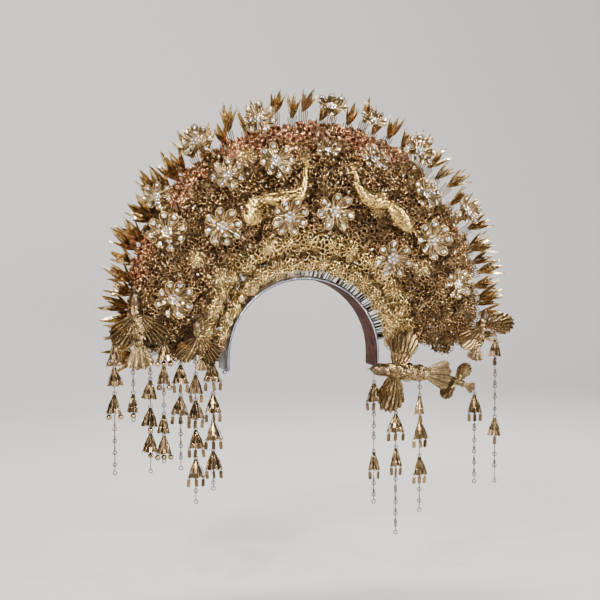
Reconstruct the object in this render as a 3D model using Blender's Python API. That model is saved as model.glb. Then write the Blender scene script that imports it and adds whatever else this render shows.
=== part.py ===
"""Bridal crown: a U-shaped head band with arched rows of gilt filigree flowers,
springy crystal flowers, two peacocks, a rim of pointed blossoms, and stamped
birds at the lower sides with hanging strands of bell caps.

Metres, +Z up, the front of the crown faces -Y. The origin is where the crown
rests on the head: under the top of the band lining, halfway through its depth.
"""
import math

import bmesh
import bpy
from mathutils import Matrix, Vector

# head band
HEAD_RADIUS = 0.080          # inside of the lining
LINING_THICKNESS = 0.0010
BAND_THICKNESS = 0.0012
BAND_DEPTH = 0.040
LEG_LENGTH = 0.014           # straight run below the arch
LINING_INSET = 0.001         # from the band's edges to the lining's
FACETS = 18                  # over the half circle
GAP = 0.0003                 # between pieces that touch

# flower field: radial share 0 is next to the band, 1 is the tip of the rim
FIELD_INNER = 0.088
FAN_RISE = 0.063
FAN_RADIUS = 0.214
FIELD_FRONT = -0.026
FIELD_BULGE = 0.022
RIM_TIP_Y = -0.045

# arched strips that the wires of each row stand on
STRIP_THICKNESS = 0.0014
STRIP_WIDTH = 0.0048
STRIP_PITCH = 0.0055
STRIP_FACETS = 8             # in each half, as fine as the band's
STRIP_CUT = 0.1              # degrees from the top to the end of each half
MIDDLE_STRIP = 3             # the place that stands halfway through the band's depth
RIM_STRIP = 6
ROOT_MARGIN = 1.5            # degrees from a strip's end to its last wire
ROOT_SINK = 0.0002
WIRE_RADIUS = 0.00065
STEM_RADIUS = 0.00055

HOOP_Z = -HEAD_RADIUS
BAND_INNER = HEAD_RADIUS + LINING_THICKNESS + GAP
BAND_OUTER = BAND_INNER + BAND_THICKNESS
STRIP_INNER = BAND_OUTER + GAP
STRIP_MIDDLE = STRIP_INNER + STRIP_THICKNESS / 2
STRIP_HALF_ANGLE = 180 / FACETS * STRIP_FACETS
SIDES = (("left", -1), ("right", 1))
FRONT = Vector((0, -1, 0))
GOLDEN_ANGLE = 137.5

# name, strip place from the front, radial share, head size as a share of the
# field's height, half angle, height of the bend where the wire turns to the head
ROWS = (
    ("gold_row_1", 0, 0.058, 0.108, 82, 0),
    ("gold_row_2", 1, 0.182, 0.152, 84, 0),
    ("bronze_row_1", 2, 0.330, 0.200, 85, 0.010),
    ("bronze_row_2", 3, 0.488, 0.200, 86, 0),
    ("bronze_row_3", 4, 0.645, 0.200, 86, 0),
    ("copper_row", 5, 0.785, 0.165, 80, 0),
)
HEAD_PETALS = 5
HEAD_THICKNESS = 0.0012
HEAD_BOSS = 0.0010
HEAD_NOTCH = 0.36            # radius between two petals as a share of the head's size
HEAD_SPACING = 0.84          # heads overlap in the front view
HEAD_LAYER = 0.0026          # and stand in four layers, by row and by turns in the row
SMALLEST_HEAD = 0.0165

# rim blossoms: angle, share of the blossom's tip, size
BLOSSOMS = (
    (-89, 1.00, 1.15), (-81, 0.97, 1.00), (-73, 1.00, 0.95), (-65, 0.97, 0.90), (-57, 1.00, 1.00),
    (-50, 0.96, 0.95), (-43, 1.00, 1.00), (-37, 0.97, 0.90), (-31, 1.00, 0.95), (-25, 0.96, 0.95),
    (-19, 1.00, 1.05), (-13, 0.97, 0.95), (-7, 1.00, 0.95), (0, 0.99, 0.90), (7, 0.97, 0.90),
    (14, 0.99, 0.90), (21, 0.97, 0.90), (28, 0.98, 0.95), (35, 0.98, 0.95), (42, 1.00, 1.00),
    (48, 0.97, 1.00), (54, 1.00, 1.05), (60, 0.97, 1.00), (66, 1.00, 1.05), (72, 0.98, 1.00),
    (78, 1.00, 1.00), (85, 0.99, 0.95),
)
BLOSSOM_LENGTH = 0.028
BLOSSOM_LEAN = math.radians(47)
PETALS_IN_BLOSSOM = 4
LILY_BASE_RADIUS = 0.0017
LILY_TIP_RADIUS = 0.0085
LILY_NOTCH_RADIUS = 0.0034
LILY_NOTCH_HEIGHT = 0.0085
LILY_FLOOR = 0.0016
LILY_SINK = 0.0008

# crystal flowers: angle, radial share, height over the field, diameter
CRYSTALS = (
    (-13.6, 0.829, 0.032, 0.042), (-12.1, 0.619, 0.026, 0.042), (-28.9, 0.949, 0.032, 0.038),
    (-26.1, 0.649, 0.024, 0.040), (-36.1, 0.481, 0.026, 0.046), (-49.1, 0.678, 0.026, 0.046),
    (-43.9, 0.817, 0.030, 0.034), (-66.1, 0.527, 0.034, 0.046), (-13.9, 0.379, 0.046, 0.044),
    (6.1, 0.371, 0.030, 0.046), (3.9, 0.850, 0.030, 0.040), (14.1, 0.829, 0.030, 0.034),
    (3.7, 0.651, 0.018, 0.030), (16.6, 0.650, 0.024, 0.036), (27.2, 0.796, 0.030, 0.042),
    (37.9, 0.293, 0.028, 0.046), (44.9, 0.503, 0.026, 0.046), (34.6, 0.647, 0.024, 0.038),
    (46.7, 0.761, 0.030, 0.036), (63.0, 0.533, 0.024, 0.036),
)
CRYSTAL_PETALS = 7
PLATE_THICKNESS = 0.0014
CRYSTAL_NOTCH = 0.24
STONE_RADIUS = 0.0042
STONE_HEIGHT = 0.0030
STONE_TABLE = 0.55           # the table's radius as a share of the stone's
STONE_SINK = 0.0004

# peacocks: name, then (x, z) of the tail's root, chest, head and tail tip, tail spread
PEACOCKS = (
    ("peacock_left", (-0.061, 0.087), (-0.024, 0.089), (-0.0153, 0.1206), (-0.076, 0.062), 58),
    ("peacock_right", (0.0745, 0.0815), (0.0486, 0.0889), (0.0368, 0.1136), (0.0965, 0.0534), 44),
)
PEACOCK_Y = -0.080
LEG_RADIUS = 0.0009
LEG_SHARES = (0.35, 0.85)    # from the tail's root to the chest
PEACOCK_RADII = (0.0026, 0.0056, 0.0060, 0.0032, 0.0028, 0.0036, 0.0008)
PEACOCK_BACK = 0.55
PADDLE_SINK = 0.003
CREST_HEIGHT = 0.0045
CREST_RADII = (0.0052, 0.0024)
# fans of a peacock: feathers, notch, half width of the root, rise
PADDLE_FAN = (5, 0.92, 0.0034, 0.0012)
WING_FAN = (4, 0.82, 0.0025, 0.0010)
WING_SPREAD = 60
WING_LENGTH = 0.022
WING_FORWARD = 0.0046
FEATHER_THICKNESS = 0.0018

# birds: name, x, y, z, turn from upright, size, left wing, right wing, tail share
BIRDS = (
    ("bird_outer_left", -0.1865, -0.0620, -0.0398, 4, 1.00, -120, 112, 1.0),
    ("bird_inner_left", -0.1226, -0.0620, -0.0600, 10, 0.74, -122, 152, 0.8),
    ("bird_inner_right", 0.0983, -0.0620, -0.0950, 84, 1.10, -84, 100, 1.0),
    ("bird_outer_right", 0.1794, -0.0680, -0.0560, -16, 0.72, -150, 60, 0.9),
    ("bird_small_right", 0.1600, -0.0520, -0.1085, 66, 0.48, -75, 110, 0.9),
)
# height and radius of each station of a bird's body, for a bird of size 1
BIRD_BODY = (
    (-0.022, 0.0020), (-0.010, 0.0052), (0.004, 0.0080), (0.016, 0.0062), (0.026, 0.0056), (0.033, 0.0016),
)
# fans of a bird: feathers, length, spread, height of the root, step to the front
BIRD_LEFT_WING = (3, 0.034, 62, 0.008, 0.0009)
BIRD_RIGHT_WING = (3, 0.034, 62, 0.008, 0.0018)
BIRD_TAIL = (4, 0.032, 58, -0.012, -0.0004)
BIRD_NOTCH = 0.84
BIRD_ROOT = 0.0045
BIRD_RISE = 0.0022
BIRD_SHEET = 0.0016
BIRD_PIN_HEIGHT = 0.004

# strands: name, x, lowest z, rows of bell caps as height below the top and width
STRANDS = (
    ("strand_left_1", -0.2105, -0.191, ((0.004, 0.013), (0.030, 0.016), (0.058, 0.015)), 2),
    ("strand_left_2", -0.1910, -0.138, ((0.030, 0.011),), 1),
    ("strand_left_3", -0.1735, -0.191, ((0.016, 0.016), (0.044, 0.017), (0.070, 0.016)), 2),
    ("strand_left_4", -0.1600, -0.181, ((0.004, 0.016), (0.080, 0.015)), 2),
    ("strand_left_5", -0.1425, -0.189, ((0.010, 0.016), (0.042, 0.018)), 2),
    ("strand_left_6", -0.1270, -0.224, ((0.022, 0.015), (0.048, 0.017), (0.078, 0.016), (0.108, 0.017)), 2),
    ("strand_left_7", -0.1090, -0.211, ((0.006, 0.018), (0.038, 0.016), (0.066, 0.017), (0.096, 0.017)), 2),
    ("strand_right_1", 0.0640, -0.233, ((0.012, 0.018), (0.084, 0.012)), 2),
    ("strand_right_2", 0.0873, -0.266, ((0.012, 0.018), (0.048, 0.012)), 2),
    ("strand_right_3", 0.1140, -0.244, ((0.018, 0.010), (0.044, 0.015), (0.082, 0.014)), 2),
    ("strand_right_4", 0.1790, -0.218, ((0.008, 0.015),), 2),
    ("strand_right_5", 0.1950, -0.215, ((0.006, 0.013), (0.090, 0.014)), 2),
)
CAP_HEIGHT = 0.013
CAP_TOP_RADIUS = 0.0016
CAP_CLEARANCE = 0.0008
CAP_REACH = 0.6              # half width kept clear of the birds, as a share of the cap's width
TAB_TUCK = 0.0015
BIRD_FRONT = -0.045
TAB_SIZE = (0.0042, 0.0015, 0.0090)
TAB_PITCH = 0.5              # as a share of the cap's width
STRAND_WIRE_RADIUS = 0.00060

# name, base colour, metallic, roughness
FINISHES = {
    "polished_steel": ((0.42, 0.44, 0.47), 1.0, 0.28),
    "brown_lining": ((0.11, 0.045, 0.030), 0.0, 0.85),
    "bright_gilt": ((0.88, 0.62, 0.22), 1.0, 0.30),
    "aged_bronze": ((0.42, 0.29, 0.13), 1.0, 0.42),
    "copper_gilt": ((0.80, 0.42, 0.28), 1.0, 0.36),
    "rim_gilt": ((0.72, 0.50, 0.22), 1.0, 0.34),
    "crystal_bronze": ((0.50, 0.43, 0.30), 1.0, 0.32),
    "peacock_gilt": ((0.90, 0.66, 0.26), 1.0, 0.30),
    "bird_gilt": ((0.74, 0.55, 0.26), 1.0, 0.36),
    "strand_gilt": ((0.70, 0.52, 0.30), 1.0, 0.36),
}


def clear_scene():
    for item in list(bpy.data.objects):
        bpy.data.objects.remove(item, do_unlink=True)


def named_collection(name):
    group = bpy.data.collections.new(name)
    bpy.context.scene.collection.children.link(group)
    return group


def finish(name):
    colour, metallic, roughness = FINISHES[name]
    material = bpy.data.materials.new(name)
    material.use_nodes = True
    shader = material.node_tree.nodes["Principled BSDF"]
    shader.inputs["Base Color"].default_value = (*colour, 1)
    shader.inputs["Metallic"].default_value = metallic
    shader.inputs["Roughness"].default_value = roughness
    return material


def solid(bm):
    """Close the work on a bmesh and give its mesh back."""
    bmesh.ops.recalc_face_normals(bm, faces=bm.faces)
    mesh = bpy.data.meshes.new("solid")
    bm.to_mesh(mesh)
    bm.free()
    return mesh


def fuse(meshes):
    """One closed body out of overlapping closed meshes."""
    pool = bpy.data.collections.new("fuse")
    bpy.context.scene.collection.children.link(pool)
    others = bpy.data.collections.new("others")
    pool.children.link(others)
    first = bpy.data.objects.new("first", meshes[0])
    pool.objects.link(first)
    for mesh in meshes[1:]:
        others.objects.link(bpy.data.objects.new("other", mesh))
    union = first.modifiers.new("union", "BOOLEAN")
    union.operation = "UNION"
    union.solver = "EXACT"
    union.operand_type = "COLLECTION"
    union.collection = others
    graph = bpy.context.evaluated_depsgraph_get()
    result = bpy.data.meshes.new_from_object(first.evaluated_get(graph))
    for item in list(others.objects) + [first]:
        bpy.data.objects.remove(item, do_unlink=True)
    bpy.data.collections.remove(others)
    bpy.data.collections.remove(pool)
    return result


def weld(mesh, distance=1e-6):
    bm = bmesh.new()
    bm.from_mesh(mesh)
    bmesh.ops.remove_doubles(bm, verts=bm.verts, dist=distance)
    bmesh.ops.dissolve_degenerate(bm, edges=bm.edges, dist=distance)
    return solid(bm)


def add_node(name, mesh, material, smooth=False):
    mesh.name = name
    mesh.materials.clear()
    mesh.materials.append(material)
    for face in mesh.polygons:
        face.use_smooth = smooth
        face.material_index = 0
    node = bpy.data.objects.new(name, mesh)
    CROWN.objects.link(node)
    return node


def reach(angle):
    """Radius of the rim's blossom tips at an angle from the top."""
    turn = math.radians(angle)
    return FAN_RISE * math.cos(turn) + math.sqrt(FAN_RADIUS ** 2 - (FAN_RISE * math.sin(turn)) ** 2)


def arch_point(angle, radius, y):
    turn = math.radians(angle)
    return Vector((radius * math.sin(turn), y, HOOP_Z + radius * math.cos(turn)))


def field_depth(share):
    return FIELD_FRONT - FIELD_BULGE * math.sin(math.pi * min(1, 1.1 * share))


def field_point(angle, share):
    radius = FIELD_INNER + share * (reach(angle) - FIELD_INNER)
    return arch_point(angle, radius, field_depth(share))


def field_normal(angle, share):
    along = field_point(angle + 1, share) - field_point(angle - 1, share)
    outward = field_point(angle, share + 0.01) - field_point(angle, share - 0.01)
    normal = along.cross(outward).normalized()
    return normal if normal.y < 0 else -normal


def facing(place, normal, spin=0):
    """Matrix whose Z axis is the normal, turned about it by a number of degrees."""
    turn = normal.to_track_quat("Z", "Y").to_matrix().to_4x4()
    return Matrix.Translation(place) @ turn @ Matrix.Rotation(math.radians(spin), 4, "Z")


def fan_frame(place, way):
    """Matrix of a plate that faces the front, its Y axis along a way."""
    along = Vector((way.x, 0, way.z)).normalized()
    across = along.cross(FRONT).normalized()
    frame = Matrix((across, along, FRONT)).transposed().to_4x4()
    return Matrix.Translation(place) @ frame


def arch(inner, outer, front, depth, facets, start, end, leg=0):
    """U or arch of rectangular section: facets over the arc and one more on each leg."""
    columns = facets + (2 if leg else 0)
    bm = bmesh.new()
    bmesh.ops.create_grid(bm, x_segments=columns, y_segments=1, size=1)
    for vert in bm.verts:
        step = round((vert.co.x + 1) / 2 * columns) - (1 if leg else 0)
        drop = leg if step in (-1, facets + 1) else 0
        angle = start + (end - start) * min(max(step, 0), facets) / facets
        vert.co = arch_point(angle, outer if vert.co.y > 0 else inner, front) - Vector((0, 0, drop))
    grown = bmesh.ops.extrude_face_region(bm, geom=bm.faces[:])
    moved = [item for item in grown["geom"] if isinstance(item, bmesh.types.BMVert)]
    bmesh.ops.translate(bm, verts=moved, vec=(0, depth, 0))
    return solid(bm)


def rod(start, end, radius, sides=4, end_radius=None):
    """Straight wire between two points."""
    span = end - start
    bm = bmesh.new()
    turn = span.to_track_quat("Z", "Y").to_matrix().to_4x4()
    bmesh.ops.create_cone(
        bm, cap_ends=True, segments=sides, radius1=radius,
        radius2=radius if end_radius is None else end_radius, depth=span.length,
        matrix=Matrix.Translation((start + end) / 2) @ turn,
    )
    return solid(bm)


def star(matrix, petals, tip_radius, notch_radius, thickness, boss=0):
    """Petalled plate facing local +Z, its front on the XY plane or raised to a boss."""
    bm = bmesh.new()
    made = bmesh.ops.create_circle(bm, cap_ends=True, segments=2 * petals, radius=1)
    for step, vert in enumerate(made["verts"]):
        radius = tip_radius if step % 2 == 0 else notch_radius
        vert.co = Vector((vert.co.x * radius, vert.co.y * radius, -thickness))
    front = bmesh.ops.extrude_face_region(bm, geom=bm.faces[:])["geom"]
    moved = [item for item in front if isinstance(item, bmesh.types.BMVert)]
    bmesh.ops.translate(bm, verts=moved, vec=(0, 0, thickness))
    if boss:
        faces = [item for item in front if isinstance(item, bmesh.types.BMFace)]
        middle = bmesh.ops.poke(bm, faces=faces)["verts"]
        bmesh.ops.translate(bm, verts=middle, vec=(0, 0, boss))
    bmesh.ops.transform(bm, matrix=matrix, verts=bm.verts)
    return solid(bm)


def feather_fan(matrix, feathers, spread, length, notch, root, rise, thickness):
    """Fan of feathers round the local +Y axis, narrow at its root on the origin."""
    bm = bmesh.new()
    count = 2 * feathers + 3
    made = bmesh.ops.create_circle(bm, cap_ends=True, cap_tris=True, segments=count, radius=1)
    middle = [vert for vert in made["verts"] if vert.co.length < 0.5]
    ring = [vert for vert in made["verts"] if vert.co.length >= 0.5]
    ring.sort(key=lambda vert: math.atan2(vert.co.x, vert.co.y))
    for step, vert in enumerate(ring):
        if step in (0, count - 1):
            side = -1 if step == 0 else 1
            vert.co = Vector((side * root, 0, 0))
            continue
        turn = math.radians(spread * ((step - 1) / (count - 3) - 0.5))
        radius = length if step % 2 == 0 else length * notch
        vert.co = Vector((radius * math.sin(turn), radius * math.cos(turn), 0))
    for vert in middle:
        vert.co = Vector((0, length * 0.5, rise))
    grown = bmesh.ops.extrude_face_region(bm, geom=bm.faces[:])
    moved = [item for item in grown["geom"] if isinstance(item, bmesh.types.BMVert)]
    bmesh.ops.translate(bm, verts=moved, vec=(0, 0, -thickness))
    bmesh.ops.transform(bm, matrix=matrix, verts=bm.verts)
    return solid(bm)


def tapered_tube(stations, sides):
    """Round body through stations of (point, radius), closed at both ends."""
    curve = bpy.data.curves.new("tube", "CURVE")
    curve.dimensions = "3D"
    curve.bevel_depth = 1
    curve.bevel_resolution = max(0, sides // 2 - 2)
    curve.use_fill_caps = True
    spline = curve.splines.new("POLY")
    spline.points.add(len(stations) - 1)
    for point, (place, radius) in zip(spline.points, stations):
        point.co = (*place, 1)
        point.radius = radius
    holder = bpy.data.objects.new("tube", curve)
    CROWN.objects.link(holder)
    graph = bpy.context.evaluated_depsgraph_get()
    mesh = bpy.data.meshes.new_from_object(holder.evaluated_get(graph))
    bpy.data.objects.remove(holder, do_unlink=True)
    return weld(mesh, 1e-5)


def build_band():
    band = arch(BAND_INNER, BAND_OUTER, -BAND_DEPTH / 2, BAND_DEPTH, FACETS, -90, 90, LEG_LENGTH)
    add_node("head_band", band, finish("polished_steel"), True)
    lining = arch(HEAD_RADIUS, HEAD_RADIUS + LINING_THICKNESS, -BAND_DEPTH / 2 + LINING_INSET,
                  BAND_DEPTH - 2 * LINING_INSET, FACETS, -90, 90, LEG_LENGTH - LINING_INSET)
    add_node("band_lining", lining, finish("brown_lining"), True)


def strip_depth(place):
    return (place - MIDDLE_STRIP) * STRIP_PITCH


def half_strip(place, side):
    """One side of the arched strip that carries a row's wires."""
    return arch(STRIP_INNER, STRIP_INNER + STRIP_THICKNESS, strip_depth(place) - STRIP_WIDTH / 2, STRIP_WIDTH,
                STRIP_FACETS, side * STRIP_CUT, side * STRIP_HALF_ANGLE)


def strip_root(angle, side, place):
    """Foot of a wire, a little inside the ends of its half of the strip."""
    held = min(max(abs(angle), ROOT_MARGIN), STRIP_HALF_ANGLE - ROOT_MARGIN)
    return arch_point(side * held, STRIP_MIDDLE - ROOT_SINK, strip_depth(place))


def head_angles(share, size_share, half_angle):
    """Angles and sizes of the heads along a row, set side by side and centred."""
    places = []
    angle = 0
    while True:
        height = reach(angle) - FIELD_INNER
        size = max(size_share * height, SMALLEST_HEAD)
        places.append((angle, size))
        radius = FIELD_INNER + share * height
        angle += math.degrees(size * HEAD_SPACING / radius)
        if angle > half_angle:
            break
    return [(-a, s) for a, s in reversed(places[1:])] + places


def build_row(name, place, share, size_share, half_angle, bend, material):
    """Two half strips with a wire and a petalled head for each flower; gives the heads' places."""
    pieces = {side: [half_strip(place, side)] for _, side in SIDES}
    heads = []
    for step, (angle, size) in enumerate(head_angles(share, size_share, half_angle)):
        side = -1 if angle < 0 else 1
        normal = field_normal(angle, share)
        layer = 2 * ((place + 1) % 2) + step % 2 - 1
        middle = field_point(angle, share) + normal * HEAD_LAYER * layer
        held = middle - normal * HEAD_THICKNESS * 0.5
        elbow = middle - normal * bend if bend else held
        pieces[side].append(rod(strip_root(angle, side, place), elbow, WIRE_RADIUS, 3))
        if bend:
            pieces[side].append(rod(elbow - normal * WIRE_RADIUS, held, WIRE_RADIUS, 3))
        pieces[side].append(star(facing(middle, normal, step * GOLDEN_ANGLE), HEAD_PETALS, size / 2,
                                 size * HEAD_NOTCH, HEAD_THICKNESS, HEAD_BOSS))
        heads.append((middle + normal * HEAD_BOSS, normal))
    for word, side in SIDES:
        add_node(name + "_" + word, weld(fuse(pieces[side])), material)
    return heads


def lily(matrix, size):
    """Narrow cup whose rim runs up into pointed petals along local +Z."""
    sides = 2 * PETALS_IN_BLOSSOM
    bm = bmesh.new()
    bmesh.ops.create_cone(bm, cap_ends=True, segments=sides, radius1=LILY_BASE_RADIUS, radius2=1, depth=2)
    rim = [vert for vert in bm.verts if vert.co.z > 0]
    bottom = [vert for vert in bm.verts if vert.co.z < 0]
    bmesh.ops.translate(bm, verts=bottom, vec=(0, 0, 1))
    for vert in rim:
        step = round(math.degrees(math.atan2(vert.co.y, vert.co.x)) / (360 / sides))
        at_tip = step % 2 == 0
        radius = LILY_TIP_RADIUS if at_tip else LILY_NOTCH_RADIUS
        height = BLOSSOM_LENGTH if at_tip else LILY_NOTCH_HEIGHT
        vert.co = Vector((vert.co.x * radius, vert.co.y * radius, height)) * size
    top = [face for face in bm.faces if all(vert in rim for vert in face.verts)]
    middle = bmesh.ops.poke(bm, faces=top)["verts"]
    middle[0].co = Vector((0, 0, LILY_FLOOR))
    bmesh.ops.transform(bm, matrix=matrix, verts=bm.verts)
    return solid(bm)


def build_spikes(material):
    """Long wires with blossoms of pointed petals that lean forward round the rim."""
    pieces = {side: [half_strip(RIM_STRIP, side)] for _, side in SIDES}
    for angle, share, size in BLOSSOMS:
        side = -1 if angle < 0 else 1
        radius = FIELD_INNER + share * (reach(angle) - FIELD_INNER)
        tip = arch_point(angle, radius, RIM_TIP_Y)
        outward = (arch_point(angle, 1, 0) - arch_point(angle, 0, 0)).normalized()
        axis = (outward * math.cos(BLOSSOM_LEAN) + FRONT * math.sin(BLOSSOM_LEAN)).normalized()
        base = tip - axis * BLOSSOM_LENGTH * size
        pieces[side].append(rod(strip_root(angle, side, RIM_STRIP), base + axis * LILY_SINK, STEM_RADIUS, 3))
        pieces[side].append(lily(facing(base, axis, 45), size))
    for word, side in SIDES:
        add_node("spike_row_" + word, weld(fuse(pieces[side])), material)


def pin_to_head(place, radius):
    """Wire from a place down to the nearest free flower head, its foot just off the head."""
    head = min(FREE_HEADS, key=lambda free: (free[0] - place).length)
    FREE_HEADS.remove(head)
    middle, normal = head
    lean = math.sqrt(max(0, 1 - (place - middle).normalized().dot(normal) ** 2))
    return rod(middle + normal * (GAP + radius * lean), place, radius)


def build_crystal(number, angle, share, height, diameter, material):
    normal = field_normal(angle, share)
    middle = field_point(angle, share) + normal * height
    axis = (normal + FRONT).normalized()
    stem = pin_to_head(middle - axis * PLATE_THICKNESS * 0.5, STEM_RADIUS)
    plate = star(facing(middle, axis, number * GOLDEN_ANGLE), CRYSTAL_PETALS, diameter / 2,
                 diameter * CRYSTAL_NOTCH, PLATE_THICKNESS)
    stone = rod(middle - axis * STONE_SINK, middle + axis * STONE_HEIGHT, STONE_RADIUS, 8,
                STONE_RADIUS * STONE_TABLE)
    add_node("crystal_flower_%02d" % number, weld(fuse([plate, stem, stone])), material)


def build_peacock(name, root, chest, head, tail_tip, tail_width, material):
    """Peacock seen from the side, through named places on its body and tail."""
    back = root.lerp(chest, PEACOCK_BACK)
    way = Vector((math.copysign(1, chest.x - root.x), 0, 0))
    up = Vector((0, 0, 1))
    neck = chest.lerp(head, 0.5) + way * 0.002
    nape = head - way * 0.001 - up * 0.003
    brow = head + way * 0.002
    beak = head + way * 0.009 - up * 0.0015
    body = tapered_tube(tuple(zip((root, back, chest, neck, nape, brow, beak), PEACOCK_RADII)), 6)
    behind = (tail_tip - root).normalized() * PADDLE_SINK
    feathers, notch, half_root, rise = PADDLE_FAN
    place = fan_frame(root - behind + FRONT * rise, tail_tip - root)
    length = (tail_tip - root).length + PADDLE_SINK
    paddle = feather_fan(place, feathers, tail_width, length, notch, half_root, rise, FEATHER_THICKNESS)
    feathers, notch, half_root, rise = WING_FAN
    place = fan_frame(back.lerp(chest, 0.4) + FRONT * WING_FORWARD, root - back)
    wing = feather_fan(place, feathers, WING_SPREAD, WING_LENGTH, notch, half_root, rise, FEATHER_THICKNESS)
    crest = star(facing(head + up * CREST_HEIGHT + FRONT * PLATE_THICKNESS / 2, FRONT), 4, *CREST_RADII,
                 PLATE_THICKNESS)
    legs = [pin_to_head(root.lerp(chest, share), LEG_RADIUS) for share in LEG_SHARES]
    add_node(name, weld(fuse([body, paddle, wing, crest] + legs)), material)


def build_bird(name, x, y, z, turn, size, left_wing, right_wing, tail_share, material):
    """Stamped bird with a rounded head, two fan wings and a fan tail, flat to the front."""
    frame = Matrix.Translation((x, y, z)) @ Matrix.Rotation(math.radians(-turn), 4, "Y")
    upright = frame @ Matrix.Rotation(math.radians(90), 4, "X")
    stations = [(frame @ Vector((0, 0, along * size)), radius * size) for along, radius in BIRD_BODY]
    pieces = [tapered_tube(stations, 6)]
    for angle, share, fan in (
        (left_wing, 1, BIRD_LEFT_WING), (right_wing, 1, BIRD_RIGHT_WING), (180, tail_share, BIRD_TAIL),
    ):
        feathers, length, spread, height, forward = fan
        place = upright @ Matrix.Translation((0, height * size, forward))
        place = place @ Matrix.Rotation(math.radians(-angle), 4, "Z")
        pieces.append(feather_fan(place, feathers, spread, length * share * size, BIRD_NOTCH,
                                  BIRD_ROOT * size, BIRD_RISE, BIRD_SHEET))
    pieces.append(pin_to_head(frame @ Vector((0, 0, BIRD_PIN_HEIGHT * size)), LEG_RADIUS))
    return add_node(name, weld(fuse(pieces)), material)


def lower_edge(x):
    """Lowest place on the birds at a distance across, or none."""
    found = []
    for bird in BIRD_NODES:
        for edge in bird.data.edges:
            a, b = (bird.data.vertices[i].co for i in edge.vertices)
            if (a.x - x) * (b.x - x) <= 0 and abs(a.x - b.x) > 1e-7:
                found.append(a.lerp(b, (x - a.x) / (b.x - a.x)))
    return min((place for place in found if place.y < BIRD_FRONT), key=lambda place: place.z, default=None)


def clear_height(x, half_width):
    """Height that is free under the birds over a width."""
    places = [lower_edge(x + half_width * step / 4) for step in range(-4, 5)]
    return min(place.z for place in places if place) - GAP


def build_strand(name, x, lowest, caps, tabs, material):
    """Wire with fluted bell caps and flat tabs, hung just under a bird."""
    top = Vector((x, lower_edge(x).y, clear_height(x, STRAND_WIRE_RADIUS)))
    pieces = [rod(top, Vector((x, top.y, lowest)), STRAND_WIRE_RADIUS, 5)]
    for order, (below, width) in enumerate(caps):
        upper = top - Vector((0, 0, below))
        upper.z = min(upper.z, clear_height(x, width * CAP_REACH) - CAP_CLEARANCE)
        lower = upper - Vector((0, 0, CAP_HEIGHT))
        pieces.append(rod(lower, upper, width / 2, 6, CAP_TOP_RADIUS))
        for tab in range(tabs if order == len(caps) - 1 else 0):
            side = (tab - (tabs - 1) / 2) * width * TAB_PITCH
            middle = lower + Vector((side, 0, TAB_TUCK - TAB_SIZE[2] / 2))
            matrix = Matrix.Translation(middle) @ Matrix.Diagonal((*TAB_SIZE, 1))
            bm = bmesh.new()
            bmesh.ops.create_cube(bm, size=1, matrix=matrix)
            pieces.append(solid(bm))
    add_node(name, weld(fuse(pieces)), material)


clear_scene()
CROWN = named_collection("bridal_crown")
FREE_HEADS = []
build_band()
ROW_FINISHES = {"gold": "bright_gilt", "bronze": "aged_bronze", "copper": "copper_gilt"}
ROW_MATERIALS = {word: finish(name) for word, name in ROW_FINISHES.items()}
for row in ROWS:
    FREE_HEADS += build_row(*row, ROW_MATERIALS[row[0].split("_")[0]])
build_spikes(finish("rim_gilt"))
crystal_finish = finish("crystal_bronze")
for order, row in enumerate(CRYSTALS):
    build_crystal(order + 1, *row, crystal_finish)
peacock_finish = finish("peacock_gilt")
for row in PEACOCKS:
    build_peacock(row[0], *(Vector((x, PEACOCK_Y, z)) for x, z in row[1:5]), row[5], peacock_finish)
bird_finish = finish("bird_gilt")
BIRD_NODES = [build_bird(*row, bird_finish) for row in BIRDS]
strand_finish = finish("strand_gilt")
for row in STRANDS:
    build_strand(*row, strand_finish)
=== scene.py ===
"""Bridal crown: gilt filigree flowers, crystal flowers, peacocks, birds and hanging
bell strands on a steel head band. Metres, +Z up, the front faces -Y."""
import math
import random

import bmesh
import bpy
import numpy as np
from mathutils import Matrix, Vector


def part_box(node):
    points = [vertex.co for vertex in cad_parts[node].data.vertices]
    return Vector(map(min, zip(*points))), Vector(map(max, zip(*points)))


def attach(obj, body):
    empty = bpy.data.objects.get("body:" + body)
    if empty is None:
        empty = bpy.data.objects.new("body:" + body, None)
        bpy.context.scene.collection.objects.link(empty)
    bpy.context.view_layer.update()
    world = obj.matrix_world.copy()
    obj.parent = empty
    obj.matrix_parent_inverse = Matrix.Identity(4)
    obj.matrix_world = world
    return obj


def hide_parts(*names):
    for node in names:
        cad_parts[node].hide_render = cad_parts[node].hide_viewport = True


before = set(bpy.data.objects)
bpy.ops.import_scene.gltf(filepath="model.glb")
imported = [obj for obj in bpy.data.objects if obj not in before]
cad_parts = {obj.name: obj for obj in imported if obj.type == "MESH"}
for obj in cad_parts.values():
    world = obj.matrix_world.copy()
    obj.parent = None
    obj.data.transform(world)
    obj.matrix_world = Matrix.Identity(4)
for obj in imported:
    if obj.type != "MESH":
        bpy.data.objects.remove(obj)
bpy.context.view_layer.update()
rng = random.Random(7)

# the layout of the solids
HOOP_Z = -0.080
FIELD_INNER = 0.088
FAN_RISE = 0.063
FAN_RADIUS = 0.214
FIELD_FRONT = -0.026
FIELD_BULGE = 0.022
RIM_TIP_Y = -0.045
STRIP_PITCH = 0.0055
STRIP_RADIUS = 0.0836
ROOTS_END = 78.5
MIDDLE_STRIP, RIM_STRIP = 3, 6
FRONT = Vector((0, -1, 0))
GOLDEN_ANGLE = 137.5
HEAD_SPACING = 0.84
HEAD_LAYER = 0.0026
SMALLEST_HEAD = 0.0165
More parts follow.
